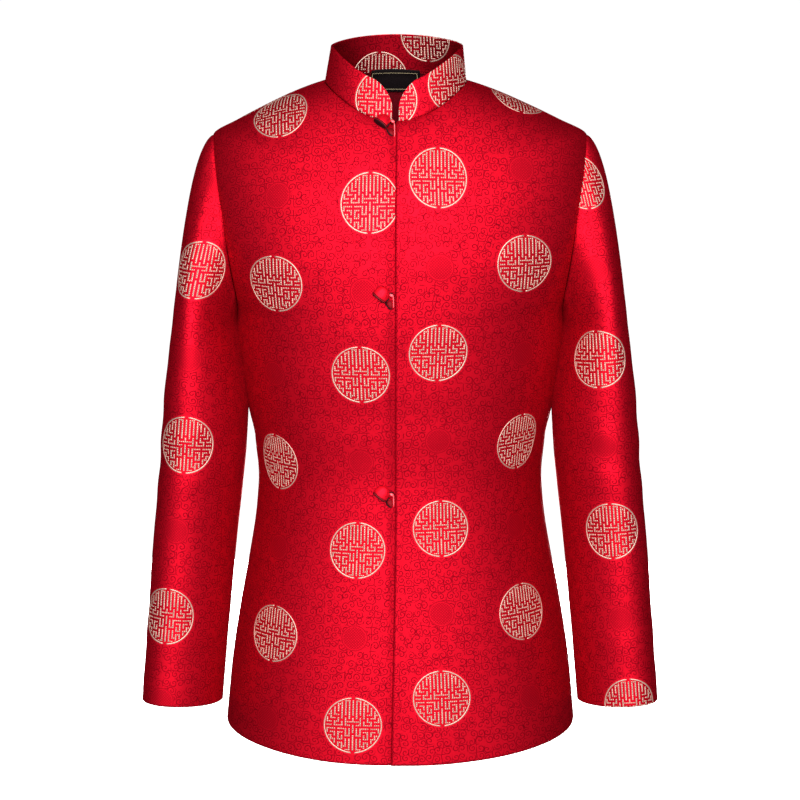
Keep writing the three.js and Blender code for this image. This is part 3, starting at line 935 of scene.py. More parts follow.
def plain_satin(name, colour, roughness, shine, metallic):
    """Satin without a pattern, with fine upright threads."""
    paint = Paint(name)
    place = paint.node("ShaderNodeTexCoord", None, None, output=3)
    wide = paint.node("ShaderNodeMapping", None, {"Vector": place, "Scale": (260.0, 260.0, 1400.0)})
    thread = paint.node("ShaderNodeTexNoise", None, {"Vector": wide, "Scale": 1.0, "Detail": 3.0})
    tint = paint.mix(paint.step(thread, 0.3, 0.7), dark(colour, 0.78), rgba(colour))
    return paint.finish(tint, roughness + thread * 0.1, thread, 0.25, Specular_IOR_Level=shine, Metallic=metallic)


def gold_material(colours):
    """Flat gold thread, caught down at short steps so that it looks beaded."""
    bead_length = 1.95
    paint = Paint("gold_thread")
    cloth, u, v = paint.cloth()
    beads = (u * wave(bead_length)).math("COSINE") * (v * wave(bead_length)).math("COSINE")
    bead = paint.step(beads, -0.9, 0.5)
    fleck = paint.noise(cloth, 900.0, 2.0)
    colour = paint.mix(bead * 0.85 + 0.15, rgba(colours.gold_shade), rgba(colours.gold))
    colour = paint.mix(paint.step(fleck, 0.45, 0.75) * 0.5, colour, rgba(colours.gold_shade))
    return paint.finish(
        colour, 0.6 + fleck * 0.08, bead + fleck * 0.4, 0.3, Metallic=0.94, Specular_IOR_Level=0.1
    )


def label_material(colours):
    """Black woven satin with a thin pale border and nothing else on it."""
    border_half_width, border_half_height, rib_length = 26.6, 12.4, 0.7
    paint = Paint("woven_label")
    _, u, v = paint.cloth()
    across = border_half_width * MM - u.math("ABSOLUTE")
    along = border_half_height * MM - v.math("ABSOLUTE")
    border = paint.line(across.math("MINIMUM", along).math("ABSOLUTE"), 0.3 * MM, 0.55 * MM)
    ribs = (v * wave(rib_length)).math("SINE") * 0.5 + 0.5
    colour = paint.mix(ribs * 0.3, rgba(colours.label), rgba(colours.label_rib))
    colour = paint.mix(border * 0.85, colour, rgba(colours.label_border))
    return paint.finish(colour, 0.7 + ribs * 0.1, ribs + border, 0.25, Specular_IOR_Level=0.08)


def material(name):
    """The named finish, made once."""
    if name in bpy.data.materials:
        return bpy.data.materials[name]
    colours = bpy.context.scene.jacket_colours
    if name == "scrolled_brocade":
        return brocade_material(name, colours)
    # The collar's inner face: the same brocade darkened as painted shade.
    if name == "collar_inside_painted_shade":
        return brocade_material(name, colours, COLLAR_INSIDE_PAINTED_SHADE)
    if name == "gold_thread":
        return gold_material(colours)
    if name == "woven_label":
        return label_material(colours)
    # Colour, roughness, shine and how metallic each plain satin is.
    satins = {
        "lining": (colours.lining, 0.6, 0.1, 0.5),
        "trim_satin": (colours.knot, 0.55, 0.2, 0.8),
        "cord_satin": (colours.cord, 0.3, 0.5, 0.0),
        # Near-black and dark red copies of the trim's satin: painted shadow and painted shade on the knots and
        # loops.
        "loop_shadow": (colours.trim_painted_shadow, 0.6, 0.1, 0.0),
        "trim_painted_red_shade": (dark(colours.knot, 0.2), 0.6, 0.1, 0.0),
    }
    return plain_satin(name, *satins[name])


# ---------------------------------------------------------------- jacket pieces


def folds(grid):
    """The soft unevenness of worn cloth, in millimetres outwards, the same on pieces that meet."""
    x, y, z = np.moveaxis(grid, -1, 0)
    calm = soft_noise(grid * np.array([1.0, 1.0, 0.45]), 5, 190.0) * 0.9
    hem = ease(-z, 560, 780) * np.sin(x / 23.0 + 0.6 * np.sin(x / 61.0 + (y > 0))) * 0.9
    waist = bump_at(z, -455, 60) * np.sin(z / 13.0 + np.abs(x) / 45.0) * ease(np.abs(x), 70, 165) * 0.8
    return (calm + hem + waist) * ease(-z, 60, 150)


def underlap_sink(grid):
    """How far the under front drops below the lap: gently, then steeply beside the lapped edge."""
    gentle, steep = 0.9, 3.5
    x = grid[..., 0]
    return gentle * ease(x, LAP_STEP_START_X, LAP_STEP_END_X) + steep * ease(x, LAP_STEP_END_X - 2, -4.0)


def overlap_sink(grid):
    """How far the lapped front drops: it stands off a little beside its edge, then rolls under."""
    roll, stand_off = 2.6, 1.1
    away = grid[..., 0] - lap_edge_x(grid[..., 2]) + LAP_ROLL
    return roll * (1 - ease(away, 0.0, 2.7)) - stand_off * (1 - ease(away, 2.0, 14.0))


def grain(grid, half):
    """Up along the cloth's grain, which tips over the shoulder with the panel."""
    tip = ease(grid[..., 2], -140, -40)[..., None]
    over = 0.8 if half == "front" else -0.8
    return UP * (1 - 0.4 * tip) + np.array([0.0, over, 0.0]) * tip


def body_panel(name, half, angles, levels, seams, sink=None):
    """One panel of the body as a shell, with its roundels."""
    grid = body_point(half, levels[:, None], angles)
    normals = grid_normals(grid)
    if sink is not None:
        grid = grid - normals * sink(grid)[..., None]
    grid = grid + normals * folds(grid)[..., None]
    normals = grid_normals(grid)
    flat = cloth_map(grid, grain(grid, half))
    centres = [flat[nearest_spot(grid, place, [0, 2])] for place in ROUNDELS[name]]
    dipped = sink_seams(grid, normals, seams)
    cloth = [material("scrolled_brocade"), material("lining")]
    piece = shell(name + "_cloth", dipped, normals, WALL, cloth, roundel_notes(flat, centres, between(centres)))
    gold = gold_roundels(name + "_roundels", dipped, normals, flat, centres, material("gold_thread"))
    return piece, gold


def seat(piece, node):
    """Puts a piece on the jacket's one body, in the place of its CAD node where it has one."""
    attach(piece, "root")
    if node:
        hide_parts(node)


def armhole_loop(side, count):
    """Points of the armhole seam from the shoulder down the front and up the back."""
    share = (1 - np.cos(np.linspace(0, math.pi, count // 2 + 1))) / 2
    down = SHOULDER_LEVEL + (UNDERARM_LEVEL - SHOULDER_LEVEL) * share
    up = down[1:-1][::-1]
    front = body_point("front", down, side * edge_angle("front", down))
    back = body_point("back", up, side * edge_angle("back", up))
    return np.concatenate([front, back]) - np.array([side * SLEEVE_OVERLAP, 0, 0])


def sleeve_ring(side, height, turn):
    """A section of the sleeve. The turn is 0 at its outer side and goes round by the front."""
    def read(column, level):
        return float(smooth(SLEEVE, column, level))

    def centre(level):
        return np.array([side * read("centre_x", level), read("centre_y", level), level])

    step = 5
    lowest, highest = SLEEVE["level"][[-1, 0]]
    near = min(max(height, lowest + step), highest - step)
    along = unit(centre(near - step) - centre(near + step))
    across = unit(np.array([side, 0, 0]) - along * side * along[0])
    forward = unit(np.array([0, -1, 0]) + along * along[1])
    wide, deep = read("half_width", height), read("half_depth", height)
    reach = SLEEVE_TURN * np.cos(turn) + math.sqrt(1 - SLEEVE_TURN**2) * np.sin(turn)
    return centre(height) + np.outer(np.cos(turn) * wide, across) + np.outer(reach * deep, forward)


def sleeve_grid(side, count=96, cap_rows=44, arm_rows=106):
    """Rings from the armhole seam to the cuff. Columns start at the underarm and go round by the front."""
    seam = armhole_loop(side, count)
    turn = 2 * math.pi * np.arange(count) / count
    first, second = SLEEVE["level"][:2]
    below, following = sleeve_ring(side, first, turn), sleeve_ring(side, second, turn)
    far = np.linalg.norm(below - seam, axis=-1)[:, None]
    top = np.cos(turn)
    leave = 0.41 * far * unit(np.stack([side * (0.5 + 0.42 * top), -0.3 * np.sin(turn), 0.3 * top - 0.7], axis=-1))
    arrive = 0.9 * far * unit(following - below)
    rings = [hermite(t, seam, leave, below, arrive) for t in fine_ends(cap_rows, True, False)[:-1]]
    for share in fine_ends(arm_rows, False, True):
        rings.append(sleeve_ring(side, first + (SLEEVE["level"][-1] - first) * share, turn))
    return np.roll(np.array(rings), count // 2, axis=1)


def sleeve_folds(grid, side):
    """Slack at the elbow and below the armhole."""
    x, y, z = np.moveaxis(grid * np.array([side, 1, 1]), -1, 0)
    calm = soft_noise(grid * np.array([side, 1.0, 0.5]), 8, 120.0) * 0.8
    inner = ease(-x, -245, -205)
    front = ease(-y, 10, 70)
    elbow = bump_at(z, -430, 55) * np.sin(z / 9.0 + x / 30.0) * (0.35 + front) * 0.6
    cuff = bump_at(z, -655, 45) * np.sin(z / 11.0 - y / 25.0) * 0.45
    pit = bump_at(z, -262, 42) * np.sin((z + y * 0.8) / 8.0) * front * (0.4 + inner) * 0.6
    return (calm + elbow + cuff + pit) * ease(-z, 80, 150) * (1 - 0.75 * inner)


def build_sleeve(side, name):
    """One sleeve as a tube, with its roundels. Its columns always run to the right, as seen from outside."""
    grid = sleeve_grid(side)
    if side > 0:
        grid = np.roll(grid[:, ::-1], 1, axis=1)
    normals = grid_normals(grid, wrapped=True)
    grid = grid + normals * sleeve_folds(grid, side)[..., None]
    normals = grid_normals(grid, wrapped=True)
    dipped = sink_seams(grid, normals, ["first_row"])
    around = [np.concatenate([f, f[:, :1]], axis=1) for f in (grid, normals, dipped)]
    flat = cloth_map(around[0], unit(np.array([-side * 0.085, 0.09, 1.0])))
    facing = around[0].copy()
    facing[around[1][..., 1] > 0.1] = FAR_OFF  # leaves out the back, which shares these places
    centres = [flat[nearest_spot(facing, place, [0, 2])] for place in ROUNDELS[name]]
    beside = [centre + (side * SLEEVE_COLUMNS, -ROUNDEL_DROP) for centre in centres]
    beside.insert(0, centres[0] + (side * SLEEVE_COLUMNS, ROUNDEL_DROP))
    notes = roundel_notes(flat, centres + beside, between(centres + beside))
    cloth = [material("scrolled_brocade"), material("lining")]
    piece = shell(name + "_cloth", dipped, normals, WALL, cloth, notes, wrapped=True)
    gold = gold_roundels(name + "_roundels", around[2], around[1], flat, centres + beside, material("gold_thread"))
    return piece, gold


def neck_point(turn):
    """The neck seam, turning from the centre front past the wearer's right, the back and the left."""
    angle = np.arctan2(-np.sin(turn), np.abs(np.cos(turn)))
    front, back = (body_point(half, np.zeros_like(turn), angle) for half in ("front", "back"))
    return np.where((np.cos(turn) > 0)[:, None], front, back)


def collar_height(from_end):
    """The band's height, which rounds down to its two front ends."""
    share = np.clip(from_end / COLLAR_CORNER, 0, 1)
    rise = (1 - (1 - share) ** COLLAR_CORNER_POWER) ** (1 / COLLAR_CORNER_POWER)
    return COLLAR_END_HEIGHT + (COLLAR_HEIGHT - COLLAR_END_HEIGHT) * rise


def collar_grid(columns=240, rows=22):
    """The collar's outer face, from one front end round the back to the other, with fine columns at the ends."""
    crowding = 0.62
    start = math.asin(COLLAR_GAP / 2 / BODY["half_width"][0])
    share = np.linspace(0, 1, columns + 1)
    eased = share - crowding * np.sin(2 * math.pi * share) / (2 * math.pi)
    seam = neck_point(start + (2 * math.pi - 2 * start) * eased)
    run = np.pad(np.cumsum(np.linalg.norm(np.diff(seam, axis=0), axis=1)), (1, 0))
    height = collar_height(np.minimum(run, run[-1] - run))
    inward = np.array([MIDDLE_X, 0, 0]) - seam
    inward[:, 2] = 0
    height = height + COLLAR_BACK_RISE * ease(seam[:, 1], 0, 50)
    inward = unit(inward) * (1 - COLLAR_LEFT_UPRIGHT * ease(seam[:, 0], 40, 80))[:, None]
    rise = np.outer(fine_ends(rows, True, True)[::-1], height)[..., None]
    return seam + UP * (rise * math.cos(COLLAR_LEAN) - COLLAR_OVERLAP) + inward * rise * math.sin(COLLAR_LEAN)


def collar_centres(flat, face, places):
    """Where the roundels lie on the laid-out band."""
    return [flat[nearest_spot(face, place[:3], [0, 1, 2])] + place[3:] for place in places]


def build_collar():
    """The band, with roundels on its outer face and on its inner face, whose brocade is darkened as painted shade.
    """
    outer = collar_grid()[:, ::-1]
    normals = grid_normals(outer)
    flat = cloth_map(outer, UP)
    centres = collar_centres(flat, outer, COLLAR_ROUNDELS)
    dipped = sink_seams(outer, normals, ["last_row"], depth=0.5, width=2.0)
    # The inner face gets the darkened brocade, as painted shade.
    cloth = [material("scrolled_brocade"), material("collar_inside_painted_shade")]
    piece = shell("collar_cloth", dipped, normals, COLLAR_WALL, cloth, roundel_notes(flat, centres, []))
    gold = gold_roundels("collar_roundels", dipped, normals, flat, centres, material("gold_thread"))
    inner = (dipped - normals * COLLAR_WALL)[:, ::-1]
    back = flat[:, ::-1] * (-1.0, 1.0)
    centres = collar_centres(back, inner, COLLAR_INSIDE_ROUNDELS)
    facing = -normals[:, ::-1]
    inside = gold_roundels("collar_inside_roundels", inner, facing, back, centres, material("gold_thread"))
    return piece, gold, inside


LABEL_WIDTH = 58.0
LABEL_DROP = 25.5
LABEL_STAND_OFF = 2.2
# The label's top two rows, over the collar seam: how far each is from the row at the seam.
LABEL_TOP = np.array([[[0.0, -3.0, 4.4]], [[0.0, -1.6, 2.2]]])


def build_label(columns=30, rows=16):
    """A small rectangle that hangs from the back of the neck, inside the jacket."""
    level = np.linspace(0.0, -LABEL_DROP, rows + 1)[:, None]
    x = MIDDLE_X + LABEL_WIDTH * np.linspace(-0.5, 0.5, columns + 1)[None, ::-1]
    angle = angle_at_x(level, x)
    normal = body_normal("back", np.broadcast_to(level, angle.shape), angle)
    face = body_point("back", level, angle) - normal * (WALL + LABEL_STAND_OFF + 0.25 * np.sin(x / 9.0)[..., None])
    face = np.concatenate([face[:1] + LABEL_TOP, face])[:, ::-1]
    flat = cloth_map(face, UP, 60)
    flat = flat - (flat[0, 0] + flat[-1, -1]) / 2
    cloth = [material("woven_label")]
    return shell("neck_label_cloth", face, grid_normals(face), LABEL_WALL, cloth, flat, inner_material=0)


def closure_frame(height):
    """Axes on the under front where a loop leaves the lap edge: left, up and outwards, and the origin."""
    level = height
    for _ in range(20):
        level += height - float(body_point("front", level, angle_at_x(level, lap_edge_x(level)))[2])
    angle = angle_at_x(level, lap_edge_x(level))
    out = body_normal("front", level, angle).reshape(3)
    left = unit(np.array([1.0, 0, 0]) - out * out[0])
    up = np.cross(out, left)
    return np.array([left, up, out]), body_point("front", level, angle) - out * LAP_STEP


def placed(points, height):
    """Moves points from a closure's own frame to the jacket."""
    axes, origin = closure_frame(height)
    return np.asarray(points) @ axes + origin


# A knot is turned round its own axis: radius and height up to the lip, then a dome.
KNOT_LIP = [(0.0, -3.1), (4.0, -3.1), (7.4, -3.05), (8.2, -2.85), (8.6, -2.5), (8.6, -2.2), (8.4, -1.95),
            (8.8, -1.85), (9.1, -1.3), (8.8, -0.75), (8.4, -0.6), (8.4, -0.2), (9.05, -0.02)]
KNOT_RADIUS = 9.1
KNOT_HEIGHT = 12.3
KNOT_FLATNESS = 0.6
KNOT_TILT = math.radians(-38.0)
KNOT_PLACE = np.array([-17.9, 5.0, 6.0])
# The trim's three materials: its own satin, a near-black copy that is painted shadow and a dark red copy that is
# painted shade.
LIT, SHADED, PAINTED_RED_SHADE = 0, 1, 2
# What each band of the knot is made of, from its back: painted shadow under it and in the grooves, painted dark
# red shade on the lip. All bands after these are the plain satin.
KNOT_BANDS = [SHADED] * 6 + [PAINTED_RED_SHADE] * 3 + [SHADED] * 2


def trim_piece(name, height, vertices, faces, kinds, lit):
    """One piece of a closure, with the trim's satin and its painted shadow and painted shade copies."""
    finishes = [material(lit), material("loop_shadow"), material("trim_painted_red_shade")]
    piece = make_object(name, placed(vertices, height), faces, finishes, kinds)
    fix_facing(piece)
    return piece


def build_knot(number, height, around=56, up=26):
    """A flattened satin dome over a thin lip, with painted shadow under it and in a groove either side of the lip,
    and painted shade on the lip.
    """
    turn = np.linspace(0, math.pi / 2, up)[:-1]
    dome = [(KNOT_RADIUS * math.cos(t) ** 0.85, KNOT_HEIGHT * math.sin(t)) for t in turn]
    profile = np.array(KNOT_LIP + dome + [(0.0, KNOT_HEIGHT)])
    spin = 2 * math.pi * np.arange(around) / around
    high = profile[:, 1:] / 6.0
    creases = np.abs(np.cos(3.5 * spin + 0.5))[None, :] ** 8 * np.clip(high, 0, 1) * np.clip(2.1 - high, 0, 1)
    radius = profile[:, :1] * (1 - 0.05 * creases)
    wide, tall = radius * np.cos(spin), np.broadcast_to(profile[:, 1:], radius.shape)
    c, s = math.cos(KNOT_TILT), math.sin(KNOT_TILT)
    points = [wide * c - tall * s, wide * s + tall * c, radius * np.sin(spin) * KNOT_FLATNESS]
    points = np.stack(points, -1) + KNOT_PLACE
    body = points[1:-1].reshape(-1, 3)
    vertices = np.concatenate([body, [points[0].mean(axis=0), points[-1].mean(axis=0)]])
    index = np.arange(len(body)).reshape(-1, around)
    bands = KNOT_BANDS + [LIT] * (len(index) - 1 - len(KNOT_BANDS))
    faces, kinds = [], []
    for j in range(around):
        k = (j + 1) % around
        faces += [[index[i, j], index[i, k], index[i + 1, k], index[i + 1, j]] for i in range(len(bands))]
        faces += [[index[0, k], index[0, j], len(body)], [index[-1, j], index[-1, k], len(body) + 1]]
        kinds += bands + [SHADED, LIT]
    return trim_piece(f"knot_button_{number}_satin", height, vertices, faces, kinds, "trim_satin")


# The loop in the closure's own frame: its lit cord down the lap edge, the bead that ends it over the button, then
# painted shadow:
# a dark cord behind the bead, a dark cord for the slit between button and cord, a dark cord round the loop's
# opening and a dark sheet inside it.
CORD_PATH = [(-3.2, 5.0, 4.6), (-2.75, 4.0, 3.6), (-2.6, 1.0, 2.0), (-2.6, -4.0, 0.6), (-2.7, -9.4, -0.6)]
BEAD_PATH = [(-7.0, 7.3, 5.6), (-5.4, 6.9, 6.2), (-3.9, 6.2, 6.0), (-3.2, 5.2, 5.2)]
BEAD_PAINTED_SHADOW_PATH = [(-8.0, 6.6, 4.4), (-6.8, 8.4, 4.8), (-4.6, 8.6, 4.8), (-2.7, 7.2, 4.2), (-2.2, 5.4, 3.4)]
SLIT_PAINTED_SHADOW_PATH = [(-11.8, -1.8, 6.2), (-9.4, 0.9, 8.2), (-6.9, 3.2, 7.4)]
SHADE_PATH = [(-11.9, -1.4, 5.0), (-11.0, -3.8, 3.6), (-9.5, -6.9, 2.8), (-7.2, -9.3, 2.1), (-4.4, -9.7, 1.7)]
PAINTED_SHADE_IN_LOOP = [(-6.4, -0.8), (-4.4, -1.6), (-3.7, -5.0), (-3.8, -8.9), (-5.2, -10.0), (-7.2, -9.5), (-9.6, -7.2),
          (-11.0, -3.4), (-9.4, -1.6)]
PAINTED_SHADE_IN_LOOP_HALF_DEPTH = 0.6
# Each cord's path, its radius, how much thicker it is half way, and its material.
CORDS = (
    (CORD_PATH, 0.62, 0.0, LIT),
    (BEAD_PATH, 0.85, 0.75, LIT),
    (BEAD_PAINTED_SHADOW_PATH, 0.5, 0.3, SHADED),
    (SLIT_PAINTED_SHADOW_PATH, 0.55, 0.25, SHADED),
    (SHADE_PATH, 0.6, 0.25, SHADED),
)


def smooth_path(points, steps):
    """A Catmull-Rom line through the points."""
    points = np.asarray(points, float)
    ends = np.concatenate([[2 * points[0] - points[1]], points, [2 * points[-1] - points[-2]]])
    line = []
    for a, b, c, d in zip(ends, ends[1:], ends[2:], ends[3:]):
        square, cube = 2 * a - 5 * b + 4 * c - d, 3 * b - a - 3 * c + d
        line += [0.5 * (2 * b + (c - a) * t + square * t**2 + cube * t**3) for t in np.arange(steps) / steps]
    return np.array(line + [points[-1]])


def tube(line, radius, around, start):
    """A round tube along a line as points and faces, with pointed ends, numbered from a start."""
    along = unit(np.gradient(line, axis=0))
    side = unit(np.cross(along, UP))
    lift = np.cross(side, along)
    spin = (2 * math.pi * np.arange(around) / around)[None, :, None]
    ring = line[:, None] + radius[:, None, None] * (np.cos(spin) * side[:, None] + np.sin(spin) * lift[:, None])
    count = len(line) * around
    index = np.arange(count).reshape(len(line), around) + start
    faces = []
    for j in range(around):
        k = (j + 1) % around
        faces += [[index[i, j], index[i, k], index[i + 1, k], index[i + 1, j]] for i in range(len(line) - 1)]
        faces += [[index[0, k], index[0, j], start + count], [index[-1, j], index[-1, k], start + count + 1]]
    tips = [line[0] - along[0] * radius[0] * 0.35, line[-1] + along[-1] * radius[-1] * 0.35]
    return np.concatenate([ring.reshape(-1, 3), tips]), faces


def build_loop(number, height):
    """A thin satin cord with a beaded end, painted shadow cords beside it and a flat dark sheet of painted shade
    inside the loop.
    """
    vertices, faces, kinds = np.zeros((0, 3)), [], []
    for path, thickness, swell, kind in CORDS:
        line = smooth_path(path, 8)
        share = np.linspace(0, 1, len(line))
        taper = np.minimum(1, 0.35 + 6 * np.minimum(share, 1 - share))
        radius = (thickness + swell * np.sin(share * math.pi)) * taper
        more, strips = tube(line, radius, 12, len(vertices))
        vertices = np.concatenate([vertices, more])
        faces += strips
        kinds += [kind] * len(strips)
    # A flat dark red sheet inside the loop: painted shade in its opening.
    outline = smooth_path([(x, y, 0.0) for x, y in PAINTED_SHADE_IN_LOOP + PAINTED_SHADE_IN_LOOP[:1]], 5)[:-1]
    outline[:, 2] = np.interp(outline[:, 1], (-10, 0), (1.2, 3.2))
    start, size = len(vertices), len(outline)
    vertices = np.concatenate([vertices, outline + UP * PAINTED_SHADE_IN_LOOP_HALF_DEPTH, outline - UP * PAINTED_SHADE_IN_LOOP_HALF_DEPTH])
    front, back = list(range(start, start + size)), list(range(start + size, start + 2 * size))
    faces += [front, back[::-1]]
    faces += [[front[k - 1], back[k - 1], back[k], front[k]] for k in [*range(1, size), 0]]
    kinds += [PAINTED_RED_SHADE] * (size + 2)
    return trim_piece(f"cord_loop_{number}_satin", height, vertices, faces, kinds, "cord_satin")


# ---------------------------------------------------------------- settings


COLOUR = {"subtype": "COLOR", "size": 3, "min": 0, "max": 1}


class JacketColours(bpy.types.PropertyGroup):
    """Colours of the cloth and trim."""

    brocade: FloatVectorProperty(
        name="Brocade", description="Ground of the brocade", default=(0.52, 0.0044, 0.0165), **COLOUR
    )
    scroll: FloatVectorProperty(
        name="Scroll", description="Lines woven into the ground", default=(0.17, 0.0016, 0.0068), **COLOUR
    )
    halo: FloatVectorProperty(
        name="Halo", description="Edge of each roundel's field", default=(0.6, 0.007, 0.022), **COLOUR
    )
    gold: FloatVectorProperty(name="Gold", description="Lit gold thread", default=(0.66, 0.56, 0.47), **COLOUR)
    gold_shade: FloatVectorProperty(
        name="Gold shade", description="Gold thread where it is caught down", default=(0.5, 0.17, 0.14), **COLOUR
    )
    lining: FloatVectorProperty(
        name="Lining", description="Inside of the jacket", default=(0.2, 0.004, 0.011), **COLOUR
    )
    knot: FloatVectorProperty(
        name="Knots", description="Satin of the knotted buttons", default=(0.72, 0.004, 0.018), **COLOUR
    )
    cord: FloatVectorProperty(
        name="Cords", description="Satin of the loop cords", default=(0.85, 0.07, 0.09), **COLOUR
    )
    # Painted shadow on the knots' undersides and grooves and on the loops' dark cords.
    trim_painted_shadow: FloatVectorProperty(
        name="Loop shade", description="Shaded side of each loop", default=(0.012, 0.0006, 0.002), **COLOUR
    )
    label: FloatVectorProperty(
        name="Label", description="Satin of the neck label", default=(0.004, 0.002, 0.0025), **COLOUR
    )
    label_rib: FloatVectorProperty(
        name="Label rib", description="Raised ribs of the label's weave", default=(0.014, 0.009, 0.011), **COLOUR
    )
    label_border: FloatVectorProperty(
        name="Label border", description="Pale line round the label", default=(0.42, 0.34, 0.2), **COLOUR
    )


class JacketStudio(bpy.types.PropertyGroup):
    """The room the jacket is shown in."""

    key_power: FloatProperty(
        name="Key light", description="Power of the large front light", unit="POWER", default=420.0
    )
    back_power: FloatProperty(
        name="Back light", description="Power of the light behind the jacket", unit="POWER", default=170.0
    )
    fill: FloatProperty(name="Fill", description="Brightness of the room", default=0.035, min=0, max=4)
    floor_glow: FloatProperty(
        name="Floor glow", description="How far the floor is lit from below", default=0.97, min=0, max=4
    )
    floor_height: FloatProperty(name="Floor", description="Height of the floor", unit="LENGTH", default=-1.42)
    lens: FloatProperty(name="Lens", description="Focal length", unit="CAMERA", default=141.43)
    camera_back: FloatProperty(
        name="Distance", description="How far in front the camera stands", unit="LENGTH", default=3.6
    )
    camera_height: FloatProperty(
        name="Height", description="Camera above the shoulders", unit="LENGTH", default=0.474
    )
    pitch: FloatProperty(
        name="Pitch", description="How far the camera looks down", subtype="ANGLE", unit="ROTATION",
        default=math.radians(13.296)
    )


# ---------------------------------------------------------------- operators


class JACKET_OT_fronts(bpy.types.Operator):
    """Build the two lapped fronts"""

    bl_idname = "jacket.fronts"
    bl_label = "Fronts"

    def execute(self, context):
        levels = body_levels()
        shares = fine_ends(HALF_PANEL_COLUMNS, True, True)
        left = spread(angle_at_x(levels, lap_edge_x(levels) - LAP_ROLL), edge_angle("front", levels), shares)
        seams = ["first_row", "last_column"]
        piece, gold = body_panel("front_left", "front", left, levels, seams, overlap_sink)
        seat(piece, "front_left")
        seat(gold, None)
        right = spread(angle_at_x(levels, UNDERLAP_X), -edge_angle("front", levels), shares)[:, ::-1]
        seams = ["first_row", "first_column"]
        piece, gold = body_panel("front_right", "front", right, levels, seams, underlap_sink)
        seat(piece, "front_right")
        seat(gold, None)
        return {"FINISHED"}


class JACKET_OT_back(bpy.types.Operator):
    """Build the back"""

    bl_idname = "jacket.back"
    bl_label = "Back"

    def execute(self, context):
        levels = body_levels()
        shares = fine_ends(HALF_PANEL_COLUMNS, False, True)
        half = spread(np.zeros_like(levels), edge_angle("back", levels), shares)
        angles = np.concatenate([-half[:, :0:-1], half], axis=1)[:, ::-1]
        piece, gold = body_panel("back", "back", angles, levels, ["first_row", "first_column", "last_column"])
        seat(piece, "back")
        seat(gold, None)
        return {"FINISHED"}


class JACKET_OT_sleeves(bpy.types.Operator):
    """Build both sleeves"""

    bl_idname = "jacket.sleeves"
    bl_label = "Sleeves"

    def execute(self, context):
        for side, name in ((1, "sleeve_left"), (-1, "sleeve_right")):
            piece, gold = build_sleeve(side, name)
            seat(piece, name)
            seat(gold, None)
        return {"FINISHED"}


class JACKET_OT_collar(bpy.types.Operator):
    """Build the stand collar and the neck label"""

    bl_idname = "jacket.collar"
    bl_label = "Collar and label"

    def execute(self, context):
        piece, gold, inside = build_collar()
        seat(piece, "collar")
        seat(gold, None)
        seat(inside, None)
        label = build_label()
        seat(label, "neck_label")
        return {"FINISHED"}


class JACKET_OT_closures(bpy.types.Operator):
    """Build the knotted buttons and their loops"""

    bl_idname = "jacket.closures"
    bl_label = "Buttons and loops"

    def execute(self, context):
        for number, height in enumerate(CLOSURE_HEIGHTS, 1):
            seat(build_knot(number, height), f"knot_button_{number}")
            seat(build_loop(number, height), f"cord_loop_{number}")
        return {"FINISHED"}


# The softboxes in metres: size, place, and the point each is turned to.
KEY_LIGHT = ((1.7, 4.2), (-0.05, -3.5, 1.15), (0, 0, -0.3))
BACK_LIGHT = ((1.6, 1.2), (0.1, 3.0, -0.8), (0, 0, -0.4))
FLOOR_HALF = 90.0
SENSOR_WIDTH = 36.0
FARTHEST_SEEN = 200.0


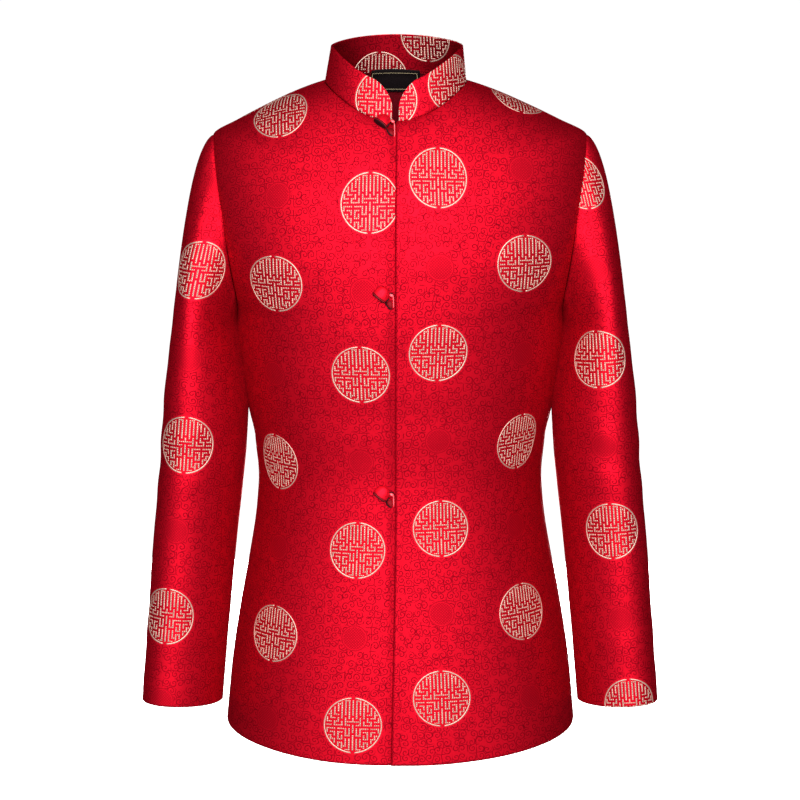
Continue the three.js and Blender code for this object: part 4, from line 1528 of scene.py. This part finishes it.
class JACKET_OT_stage(bpy.types.Operator):
    """Set up the floor, the lights and the camera"""

    bl_idname = "jacket.stage"
    bl_label = "Stage"

    def light(self, name, power, size, place, target):
        """An upright softbox, size wide and tall."""
        lamp = bpy.data.lights.new(name, "AREA")
        lamp.energy, lamp.shape, lamp.size, lamp.size_y = power, "RECTANGLE", *size
        made = bpy.data.objects.new(name, lamp)
        made.location = place
        made.visible_camera = False
        made.rotation_euler = (Vector(target) - Vector(place)).to_track_quat("-Z", "Y").to_euler()
        bpy.context.scene.collection.objects.link(made)

    def execute(self, context):
        scene = context.scene
        studio = scene.jacket_studio
        corners = [(x * FLOOR_HALF, y * FLOOR_HALF) for x, y in ((-1, -1), (1, -1), (1, 1), (-1, 1))]
        mesh = bpy.data.meshes.new("floor")
        mesh.from_pydata([(x, y, studio.floor_height) for x, y in corners], [], [(0, 1, 2, 3)])
        floor = bpy.data.objects.new("floor", mesh)
        scene.collection.objects.link(floor)
        paint = Paint("studio_floor")
        paint.constants(
            Base_Color=(0.86, 0.86, 0.86, 1),
            Roughness=0.9,
            Specular_IOR_Level=0.0,
            Emission_Color=(1, 1, 1, 1),
            Emission_Strength=studio.floor_glow,
        )
        mesh.materials.append(paint.material)
        floor.visible_glossy = False

        world = bpy.data.worlds.new("room")
        world.use_nodes = True
        background = world.node_tree.nodes["Background"].inputs
        background["Color"].default_value = (1, 1, 1, 1)
        background["Strength"].default_value = studio.fill
        scene.world = world
        self.light("key", studio.key_power, *KEY_LIGHT)
        self.light("back_light", studio.back_power, *BACK_LIGHT)

        camera = bpy.data.objects.new("camera", bpy.data.cameras.new("camera"))
        camera.data.lens = studio.lens
        camera.data.sensor_width = SENSOR_WIDTH
        camera.data.clip_end = FARTHEST_SEEN
        camera.location = (0, -studio.camera_back, studio.camera_height)
        camera.rotation_euler = (math.pi / 2 - studio.pitch, 0, 0)
        scene.collection.objects.link(camera)
        scene.camera = camera
        scene.view_settings.view_transform = "Standard"
        return {"FINISHED"}


class JACKET_PT_panel(bpy.types.Panel):
    """Lists the jacket's pieces"""

    bl_idname = "JACKET_PT_panel"
    bl_label = "Brocade jacket"
    bl_space_type = "VIEW_3D"
    bl_region_type = "UI"
    bl_category = "Jacket"

    def draw(self, context):
        column = self.layout.column()
        for operator in OPERATORS:
            column.operator(operator.bl_idname)
        for group in (context.scene.jacket_colours, context.scene.jacket_studio):
            for name in group.bl_rna.properties.keys():
                if name not in ("rna_type", "name"):
                    column.prop(group, name)


OPERATORS = (
    JACKET_OT_fronts,
    JACKET_OT_back,
    JACKET_OT_sleeves,
    JACKET_OT_collar,
    JACKET_OT_closures,
    JACKET_OT_stage,
)
CLASSES = (JacketColours, JacketStudio, *OPERATORS, JACKET_PT_panel)


def register():
    for item in CLASSES:
        bpy.utils.register_class(item)
    bpy.types.Scene.jacket_colours = PointerProperty(type=JacketColours)
    bpy.types.Scene.jacket_studio = PointerProperty(type=JacketStudio)


def unregister():
    del bpy.types.Scene.jacket_studio
    del bpy.types.Scene.jacket_colours
    for item in reversed(CLASSES):
        bpy.utils.unregister_class(item)


def main():
    register()
    bpy.ops.jacket.back()
    bpy.ops.jacket.fronts()
    bpy.ops.jacket.sleeves()
    bpy.ops.jacket.collar()
    bpy.ops.jacket.closures()
    bpy.ops.jacket.stage()


if __name__ == "__main__":
    main()
